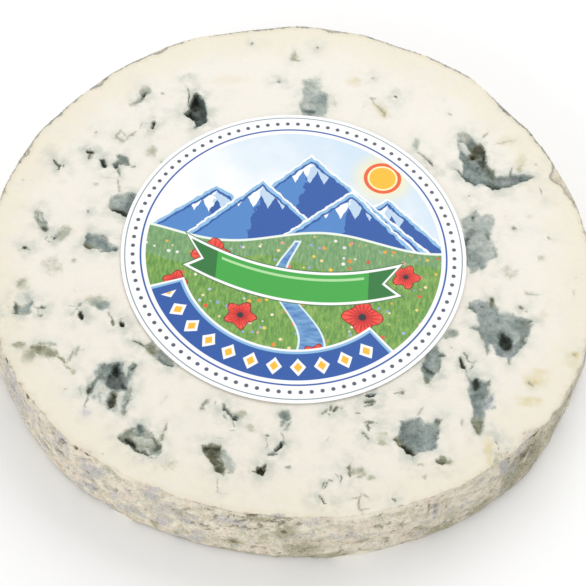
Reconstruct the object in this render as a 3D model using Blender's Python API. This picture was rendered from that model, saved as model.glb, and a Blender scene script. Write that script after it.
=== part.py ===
"""A round slice cut across a tall blue cheese, with a round paper label on top.

The slice lies on its cut underside, with its rind as the standing wall. +Z is up,
+X runs along the slice's widest way, and +Y points to the top of the label.
The origin is the middle of the underside. Sizes here are in millimetres, and
MM turns them into Blender's metres where a mesh is made.
"""

import math
import random

import bmesh
import bpy
from mathutils import Matrix, Vector, noise

MM = 0.001

# The slice: nearly round, a little wider along X, its rind swelling below the rim
RADIUS = 65.0
THICKNESS = 17.4
RIND_SWELL = 1.1
SWELL_HEIGHT = 5.2
RIM_ROUNDING = 0.3
RIM_DEPTH = 0.6
SIDE_COLUMNS = 144
SIDE_ROWS = 5

# Slow lobes of the outline: lobes in one turn, height, direction of the first in degrees
OUTLINE_LOBES = ((2, 0.97, -4.0), (3, 0.60, -37.0), (4, 0.25, -29.0), (5, 0.14, 3.0))

# Flats and swellings of the edge: direction in degrees, half width, height outwards
EDGE_SHAPES = (
    (148.0, 1.6, -0.5),
    (142.0, 7.0, -0.4),
    (116.0, 9.0, 0.5),
    (91.0, 4.0, 0.5),
    (85.0, 2.0, -0.4),
    (70.0, 5.0, -0.4),
    (55.0, 5.0, 0.5),
    (43.0, 4.0, -0.5),
    (-36.0, 12.0, 0.3),
    (-132.0, 6.0, 0.4),
)

# Unevenness of the rind: height, size of its lumps, and the layers that make them
RIND_ROUGHNESS = 0.35
RIND_GRAIN = 6.5
RIND_LAYERS = (0.8, 2.0, 3)         # fall-off, size step and number of layers

# The paper label, lying on the top face
LABEL_RADIUS = 37.6
LABEL_THICKNESS = 0.3
LABEL_CENTRE = (0.3, 0.4)
LABEL_SIDES = 128
LABEL_GAP = 0.3

# Mould pockets open at the top face:
# x, y, half length, half width, turn in degrees, depth
WIDE_POCKETS = (
    (-24.0, 38.0, 5.2, 2.0, 103, 5.5),
    (-37.8, 10.2, 4.0, 2.8, 20, 1.8),
    (-42.6, -0.1, 3.2, 2.0, -12, 1.5),
    (-35.1, -33.5, 3.4, 2.4, 84, 4.0),
    (-28.3, -47.8, 4.4, 3.2, -20, 2.2),
    (-12.7, -51.0, 3.2, 1.1, -60, 2.5),
    (28.4, -42.2, 4.5, 3.8, 10, 1.8),
    (31.0, -25.8, 4.2, 1.9, 80, 1.5),
    (40.9, -31.0, 3.0, 2.3, 90, 1.8),
    (40.8, -37.5, 4.0, 1.2, 90, 1.5),
    (43.3, -13.6, 4.6, 2.7, 110, 1.4),
    (47.8, -16.8, 4.4, 4.6, 0, 1.7),
    (41.0, 11.0, 2.9, 2.7, 0, 1.0),
    (40.9, 4.6, 4.6, 3.1, 95, 1.2),
    (40.5, 26.4, 3.6, 2.7, 20, 1.9),
    (39.2, 31.6, 4.4, 2.7, 100, 1.8),
    (48.0, 24.8, 4.6, 1.3, 12, 1.5),
    (2.6, 44.0, 4.7, 3.0, 95, 1.0),
)
SMALL_POCKETS = (
    (-26.3, 36.6, 1.6, 0.8, 15, 2.5),
    (-36.9, 40.4, 2.3, 0.9, 57, 1.5),
    (-33.9, 32.3, 1.2, 0.5, 80, 1.2),
    (-47.1, 23.7, 1.1, 0.8, -20, 1.2),
    (-43.4, 20.9, 1.4, 0.9, -60, 3.0),
    (-39.9, 21.7, 2.2, 1.1, 35, 1.5),
    (-55.2, 4.1, 2.9, 1.1, 118, 0.8),
    (-56.4, -18.4, 2.5, 1.3, 0, 1.2),
    (-43.7, -19.0, 1.0, 0.8, 60, 2.0),
    (-34.8, -20.5, 1.1, 0.8, -45, 2.0),
    (-26.6, -28.2, 3.6, 0.8, -35, 1.2),
    (-38.0, -32.0, 1.7, 1.6, 0, 1.5),
    (-35.0, -39.0, 1.7, 0.9, 80, 2.5),
    (-40.1, -36.6, 1.1, 0.7, 50, 1.5),
    (-3.4, -53.0, 1.2, 1.0, 45, 3.0),
    (0.0, -47.5, 1.5, 0.8, 60, 3.0),
    (-10.6, -40.3, 2.3, 0.8, -55, 1.5),
    (18.2, -34.0, 1.5, 1.0, 20, 2.0),
    (26.0, -46.6, 1.7, 0.8, -35, 3.0),
    (37.4, -24.7, 1.4, 0.7, 110, 2.0),
    (46.3, -18.2, 1.6, 1.3, 80, 5.0),
    (29.0, 28.0, 2.7, 0.6, -48, 1.0),
    (45.3, -45.8, 2.0, 1.2, 80, 3.0),
)
POCKET_ROUGHNESS = 0.44
POCKET_LUMPS = 1.7        # lumps along the radius of a cutter
POCKET_LIFT = 0.12        # share of a cutter's depth by which its middle stands above the face
WIDE_DETAIL = 3           # how finely the cutters are divided
SMALL_DETAIL = 2

# The underside is a cut face too, with shallower pockets at random
UNDER_POCKETS = 16
UNDER_REACH = (0.12, 0.86)          # nearest and farthest, as shares of the radius
UNDER_LENGTH = (1.2, 4.0)
UNDER_WIDTH = (0.4, 0.8)            # as shares of the length
UNDER_DEPTH = (0.8, 2.2)
UNDER_SPACING = 12.0
SEED = 11

# Finishes
PASTE_COLOUR = (0.87, 0.83, 0.73)
PASTE_ROUGHNESS = 0.55
PAPER_COLOUR = (0.93, 0.94, 0.94)
PAPER_ROUGHNESS = 0.5
SHARP_ANGLE = 40.0                  # faces that meet more steeply than this keep a sharp edge


def outline_radius(angle):
    """Distance from the middle to the slice's edge, in a direction in radians."""
    radius = RADIUS
    for lobes, height, first in OUTLINE_LOBES:
        radius += height * math.cos(lobes * (angle - math.radians(first)))
    for direction, half_width, height in EDGE_SHAPES:
        away = math.remainder(angle - math.radians(direction), 2 * math.pi) * RADIUS
        radius += height * math.exp(-(away / half_width) ** 2)
    return radius


def outline_middle():
    """Middle of the outline's box, which becomes the origin."""
    turns = [math.radians(step) for step in range(360)]
    xs = [outline_radius(turn) * math.cos(turn) for turn in turns]
    ys = [outline_radius(turn) * math.sin(turn) for turn in turns]
    return Vector(((min(xs) + max(xs)) / 2, (min(ys) + max(ys)) / 2, 0.0))


def swell(height):
    """How far the rind stands out beyond the rim at a height."""
    span = THICKNESS - SWELL_HEIGHT
    return RIND_SWELL * (1 - ((height - SWELL_HEIGHT) / span) ** 2)


def ring_heights():
    """Heights and inward steps of the wall's rings, from the underside to the rim."""
    low, high = RIM_DEPTH, THICKNESS - RIM_DEPTH
    rings = [(0.0, RIM_ROUNDING)]
    rings += [(low + (high - low) * row / SIDE_ROWS, 0.0) for row in range(SIDE_ROWS + 1)]
    rings.append((THICKNESS, RIM_ROUNDING))
    return rings


def wall_point(angle, height, inset):
    """A point of the uneven rind."""
    radius = outline_radius(angle) + swell(height) - inset
    point = Vector((radius * math.cos(angle), radius * math.sin(angle), height))
    bump = noise.fractal(point / RIND_GRAIN, *RIND_LAYERS) * RIND_ROUGHNESS
    outwards = Vector((math.cos(angle), math.sin(angle), 0.0))
    return point + outwards * bump


def new_object(name, bm, middle):
    """Turn a bmesh in millimetres into an object in metres, moved off the middle."""
    bmesh.ops.translate(bm, verts=bm.verts, vec=-middle)
    bmesh.ops.scale(bm, verts=bm.verts, vec=(MM, MM, MM))
    bmesh.ops.recalc_face_normals(bm, faces=bm.faces)
    mesh = bpy.data.meshes.new(name)
    bm.to_mesh(mesh)
    bm.free()
    obj = bpy.data.objects.new(name, mesh)
    bpy.context.collection.objects.link(obj)
    return obj


def make_slice(middle):
    """The whole slice before its pockets are cut: two level faces and the rind."""
    bm = bmesh.new()
    angles = [2 * math.pi * column / SIDE_COLUMNS for column in range(SIDE_COLUMNS)]
    rings = [
        [bm.verts.new(wall_point(angle, height, inset)) for angle in angles]
        for height, inset in ring_heights()
    ]
    for lower, upper in zip(rings, rings[1:]):
        for column in range(SIDE_COLUMNS):
            after = (column + 1) % SIDE_COLUMNS
            bm.faces.new((lower[column], lower[after], upper[after], upper[column]))
    bm.faces.new(rings[-1])
    bm.faces.new(list(reversed(rings[0])))
    return new_object("cheese", bm, middle)


def pocket_cutter(name, pocket, detail, face_height, middle):
    """An uneven egg whose widest level lies in a cut face, so it opens there."""
    x, y, length, width, turn, depth = pocket
    bm = bmesh.new()
    bmesh.ops.create_icosphere(bm, subdivisions=detail, radius=1.0)
    for vert in bm.verts:
        rough = noise.noise(vert.co * POCKET_LUMPS + Vector((x, y, 0.0)))
        vert.co *= 1 + POCKET_ROUGHNESS * rough
    lift = depth * POCKET_LIFT * (1 if face_height else -1)
    place = Matrix.Translation((x, y, face_height + lift))
    place @= Matrix.Rotation(math.radians(turn), 4, "Z")
    place @= Matrix.Diagonal((length, width, depth * (1 + POCKET_LIFT), 1.0))
    bmesh.ops.transform(bm, matrix=place, verts=bm.verts)
    cutter = new_object(name, bm, middle)
    cutter.hide_render = True
    cutter.display_type = "WIRE"
    return cutter


def under_pockets():
    """Pockets of the underside, kept apart from each other."""
    draw = random.Random(SEED)
    pockets = []
    while len(pockets) < UNDER_POCKETS:
        angle = draw.uniform(0, 2 * math.pi)
        reach = RADIUS * math.sqrt(draw.uniform(UNDER_REACH[0] ** 2, UNDER_REACH[1] ** 2))
        x, y = reach * math.cos(angle), reach * math.sin(angle)
        if any(math.dist((x, y), other[:2]) < UNDER_SPACING for other in pockets):
            continue
        length = draw.uniform(*UNDER_LENGTH)
        width = length * draw.uniform(*UNDER_WIDTH)
        pockets.append((x, y, length, width, draw.uniform(0, 180), draw.uniform(*UNDER_DEPTH)))
    return pockets


def cut_pockets(cheese, middle):
    """Cut every pocket out of the slice in one Boolean."""
    cutters = bpy.data.collections.new("pocket_cutters")
    bpy.context.scene.collection.children.link(cutters)
    groups = (
        ("wide", WIDE_POCKETS, WIDE_DETAIL, THICKNESS),
        ("small", SMALL_POCKETS, SMALL_DETAIL, THICKNESS),
        ("under", under_pockets(), SMALL_DETAIL, 0.0),
    )
    for group, pockets, detail, face_height in groups:
        for number, pocket in enumerate(pockets, start=1):
            name = f"cut_{group}_{number}"
            cutter = pocket_cutter(name, pocket, detail, face_height, middle)
            bpy.context.collection.objects.unlink(cutter)
            cutters.objects.link(cutter)
    cut = cheese.modifiers.new("pockets", "BOOLEAN")
    cut.operation = "DIFFERENCE"
    cut.operand_type = "COLLECTION"
    cut.collection = cutters
    cut.solver = "EXACT"


def make_label(middle):
    """The paper disc, a hair above the top face."""
    bm = bmesh.new()
    bmesh.ops.create_cone(
        bm,
        cap_ends=True,
        segments=LABEL_SIDES,
        radius1=LABEL_RADIUS,
        radius2=LABEL_RADIUS,
        depth=LABEL_THICKNESS,
    )
    height = THICKNESS + LABEL_GAP + LABEL_THICKNESS / 2
    bmesh.ops.translate(bm, verts=bm.verts, vec=(*LABEL_CENTRE, height))
    return new_object("label", bm, middle)


def give_material(obj, name, colour, roughness):
    """A plain Principled material of one colour."""
    material = bpy.data.materials.new(name)
    material.use_nodes = True
    shader = material.node_tree.nodes["Principled BSDF"]
    shader.inputs["Base Color"].default_value = (*colour, 1.0)
    shader.inputs["Roughness"].default_value = roughness
    shader.inputs["Metallic"].default_value = 0.0
    obj.data.materials.append(material)


def shade(obj):
    """Smooth shading, with sharp edges where faces meet steeply."""
    obj.data.shade_smooth()
    obj.data.set_sharp_from_angle(angle=math.radians(SHARP_ANGLE))


def main():
    for obj in list(bpy.data.objects):
        bpy.data.objects.remove(obj, do_unlink=True)
    middle = outline_middle()

    cheese = make_slice(middle)
    give_material(cheese, "ivory_paste", PASTE_COLOUR, PASTE_ROUGHNESS)
    shade(cheese)
    cut_pockets(cheese, middle)

    label = make_label(middle)
    give_material(label, "label_paper", PAPER_COLOUR, PAPER_ROUGHNESS)
    shade(label)


main()
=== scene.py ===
"""A round slice of natural-rind blue cheese with a round paper label, drawn around its frame.

Sizes in the tables are millimetres, measured from the first centre of the slice's outline.
"""

import math
import random

import bpy
import numpy as np
from mathutils import Matrix, Vector, noise
from mathutils.geometry import delaunay_2d_cdt


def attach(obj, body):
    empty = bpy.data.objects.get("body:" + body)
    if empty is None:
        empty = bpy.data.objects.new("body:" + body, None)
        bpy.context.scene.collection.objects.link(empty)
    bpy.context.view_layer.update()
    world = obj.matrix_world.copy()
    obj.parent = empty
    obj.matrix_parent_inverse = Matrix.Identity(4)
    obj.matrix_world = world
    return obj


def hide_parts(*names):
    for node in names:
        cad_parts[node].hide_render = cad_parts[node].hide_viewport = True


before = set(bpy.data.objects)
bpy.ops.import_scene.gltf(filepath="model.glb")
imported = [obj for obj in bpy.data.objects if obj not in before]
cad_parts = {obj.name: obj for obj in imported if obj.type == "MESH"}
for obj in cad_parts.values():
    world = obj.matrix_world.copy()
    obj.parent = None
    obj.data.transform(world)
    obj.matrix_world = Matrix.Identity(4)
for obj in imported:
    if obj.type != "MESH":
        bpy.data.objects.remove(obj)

bl_info = {
    "name": "Blue Cheese Slice",
    "version": (1, 0, 0),
    "blender": (4, 5, 0),
    "location": "3D Viewport > Sidebar > Cheese",
    "description": "Models a round slice of blue cheese with its rind, mould and paper label",
    "category": "Add Mesh",
}

MM = 0.001
BODY = "root"

# The slice: nearly round, its rind swelling below the rim
RADIUS = 65.0
THICKNESS = 17.4
RIND_SWELL = 1.1
SWELL_HEIGHT = 5.2
RIM_ROUNDING = 0.3
RIM_DEPTH = 0.6
RIND_ROUGHNESS = 0.35
RIND_GRAIN = 6.5

# Slow lobes of the outline: lobes in one turn, height, direction of the first in degrees
OUTLINE_LOBES = ((2, 0.97, -4.0), (3, 0.60, -37.0), (4, 0.25, -29.0), (5, 0.14, 3.0))

# Flats and swellings of the edge: direction in degrees, half width, height outwards
EDGE_SHAPES = (
    (148.0, 1.6, -0.5),
    (142.0, 7.0, -0.4),
    (116.0, 9.0, 0.5),
    (91.0, 4.0, 0.5),
    (85.0, 2.0, -0.4),
    (70.0, 5.0, -0.4),
    (55.0, 5.0, 0.5),
    (43.0, 4.0, -0.5),
    (-36.0, 12.0, 0.3),
    (-132.0, 6.0, 0.4),
)

# Where the rind leans inwards below the rim: direction, half width in degrees, most of it
RIND_LEANS = (
    (-24.0, 11.0, 1.0),
    (-150.0, 14.0, 0.5),
)
LEAN_HEIGHT = 10.0              # the whole lean is reached this far below the rim
FOOT_HEIGHT = 3.0               # the foot curves inwards below this height
FOOT_CURVE = 0.45
BARE_FOOT = 1.2                 # crumbs thin out below this height

# The paper label
LABEL_CENTRE = (0.3, 0.4)
LABEL_RADIUS = 37.6

# Mould in the cut face is laid down in order: patches first, then marks, then ridges.
# Patches: darkness from 0 to 1, hue from -1 for olive to 1 for lilac, depth in steps, corners
# The darkest patches and marks, darkness near 1, are dark mould with painted shade: deep holes and shadowed
# pocket walls drawn near black
MOULD_PATCHES = (
    (0.93, -0.3, 5.5, (
        (-24.5, 43.0), (-22.6, 40.8), (-21.7, 37.9), (-21.1, 34.6), (-24.1, 32.3),
        (-24.6, 34.3), (-25.6, 35.3), (-27.3, 36.6), (-25.9, 37.5), (-25.7, 41.2),
    )),
    (0.46, 0.0, 1.6, (
        (-36.6, 13.5), (-34.5, 12.7), (-34.5, 6.8), (-37.4, 7.0), (-40.6, 8.6), (-41.4, 10.4),
        (-40.5, 12.1), (-38.9, 12.9),
    )),
    (0.56, 0.0, 1.4, (
        (-45.5, 0.8), (-44.7, 2.1), (-42.8, 1.9), (-40.8, 1.1), (-38.9, -0.8), (-37.5, -1.2),
        (-38.2, -2.5), (-40.5, -2.6), (-42.8, -2.0), (-44.5, -2.1), (-45.3, -0.8),
    )),
    (0.50, -0.2, 0.9, (
        (-58.3, -16.8), (-56.5, -17.8), (-54.3, -16.4), (-54.4, -19.2), (-55.6, -19.9), (-58.4, -19.9),
    )),
    (0.12, 0.1, 0.7, (
        (-40.8, -34.5), (-38.6, -30.6), (-33.6, -29.4), (-30.4, -29.9), (-31.2, -34.5),
        (-30.8, -38.5), (-32.2, -42.6), (-35.8, -41.4), (-40.8, -38.4),
    )),
    (0.66, -0.2, 1.6, (
        (-39.1, -31.8), (-38.0, -30.8), (-34.0, -29.7), (-33.7, -30.6), (-35.6, -31.0),
        (-36.6, -33.6), (-37.0, -34.8), (-38.6, -34.2),
    )),
    (0.85, 0.0, 2.2, (
        (-36.4, -33.2), (-35.3, -31.3), (-33.9, -32.6), (-32.9, -34.6), (-32.3, -36.3),
        (-34.6, -36.6), (-36.3, -36.0), (-36.9, -34.8),
    )),
    (1.0, 0.0, 4.0, (
        (-35.5, -30.2), (-34.6, -30.1), (-34.1, -32.4), (-34.6, -33.1), (-35.6, -33.2),
        (-36.6, -34.0), (-36.2, -32.4),
    )),
    (0.38, -0.5, 1.6, (
        (-33.0, -48.0), (-31.6, -45.8), (-29.9, -45.2), (-28.6, -43.9), (-27.3, -45.0),
        (-25.7, -46.6), (-24.0, -48.2), (-23.8, -50.4), (-26.2, -51.8), (-28.9, -50.9), (-31.2, -49.4),
    )),
    (0.48, -0.4, 0.9, (
        (-30.2, -25.6), (-28.0, -24.2), (-23.0, -28.6), (-22.4, -30.2), (-24.6, -30.4),
        (-27.2, -28.6), (-28.8, -27.6), (-29.5, -26.4),
    )),
    (0.78, -0.9, 2.3, (
        (-15.6, -48.0), (-13.5, -47.4), (-11.7, -48.0), (-11.6, -49.6), (-11.0, -51.4),
        (-10.3, -53.4), (-10.9, -54.8), (-12.5, -53.9), (-13.8, -51.8), (-14.9, -50.2), (-15.7, -49.2),
    )),
    (0.62, 0.0, 1.5, (
        (24.7, -39.2), (27.0, -38.3), (28.9, -38.2), (29.9, -39.5), (31.2, -39.2), (32.2, -37.9),
        (33.7, -38.3), (33.3, -39.3), (32.7, -40.3), (32.6, -41.5), (32.3, -45.2), (30.4, -46.1),
        (28.6, -46.3), (27.6, -47.2), (25.4, -45.5), (24.2, -44.2), (23.5, -43.3), (24.3, -41.8),
    )),
    (0.60, -0.1, 1.3, (
        (29.5, -22.5), (31.8, -20.2), (32.6, -22.0), (33.9, -22.3), (33.6, -23.0), (32.9, -23.6),
        (32.8, -25.2), (32.2, -27.0), (31.2, -28.6), (30.9, -30.0), (29.6, -30.0), (29.2, -28.4),
        (28.3, -26.4),
    )),
    (0.52, -0.1, 1.7, (
        (38.4, -26.8), (39.2, -28.0), (42.4, -28.0), (43.2, -27.7), (43.1, -30.0), (43.3, -31.8),
        (42.5, -33.2), (42.2, -35.0), (42.0, -38.0), (42.1, -39.8), (41.2, -41.4), (40.2, -41.2),
        (39.3, -39.6), (39.5, -37.0), (39.4, -34.6), (38.9, -32.4), (38.4, -30.4),
    )),
    (0.52, 0.0, 1.3, (
        (38.1, -10.4), (38.8, -9.0), (40.7, -8.4), (42.6, -8.6), (43.3, -7.1), (44.0, -7.4),
        (44.1, -9.1), (45.3, -11.1), (48.0, -11.5), (50.4, -12.3), (52.2, -12.8), (51.8, -14.8),
        (51.1, -16.7), (51.0, -18.6), (49.3, -20.9), (48.0, -22.3), (47.1, -24.0), (46.5, -22.3),
        (44.5, -21.9), (43.7, -19.5), (43.2, -21.3), (42.4, -22.3), (42.0, -19.0), (40.5, -16.4),
        (38.7, -15.6), (40.7, -14.6), (40.3, -12.1), (39.2, -11.3),
    )),
    (0.42, -0.15, 0.9, (
        (36.5, 12.5), (38.2, 13.8), (39.6, 14.8), (41.5, 14.0), (43.4, 14.2), (43.9, 13.2),
        (43.3, 9.5), (43.2, 7.2), (44.4, 5.7), (44.9, 3.4), (42.8, 1.6), (40.9, 0.1), (40.0, -1.6),
        (38.7, -0.9), (36.8, 0.6), (36.8, 7.2),
    )),
    (0.74, 0.0, 1.8, (
        (35.8, 34.3), (36.0, 36.0), (37.8, 36.7), (38.8, 34.8), (41.0, 33.9), (42.2, 31.8),
        (42.5, 28.0), (43.9, 26.4), (45.0, 24.8), (47.0, 25.3), (47.8, 27.3), (48.2, 25.6),
        (50.4, 26.2), (53.1, 25.6), (50.6, 23.8), (47.5, 22.2), (45.2, 21.6), (43.7, 20.6),
        (42.0, 22.3), (41.3, 22.7), (39.1, 21.8), (37.2, 23.4), (36.2, 24.7), (34.8, 26.1),
        (36.9, 25.2), (37.0, 28.0), (36.0, 30.6),
    )),
    (0.30, -0.2, 0.5, (
        (-0.5, 48.8), (1.2, 49.0), (3.4, 49.2), (4.2, 47.4), (4.0, 46.0), (-0.2, 46.0),
    )),
    (0.38, -0.1, 0.9, (
        (-0.4, 45.8), (1.4, 46.6), (3.6, 46.2), (5.4, 45.2), (5.9, 44.2), (5.5, 41.5), (5.3, 38.0),
        (0.2, 38.0), (-0.8, 41.2), (-0.3, 43.6),
    )),
)
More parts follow.
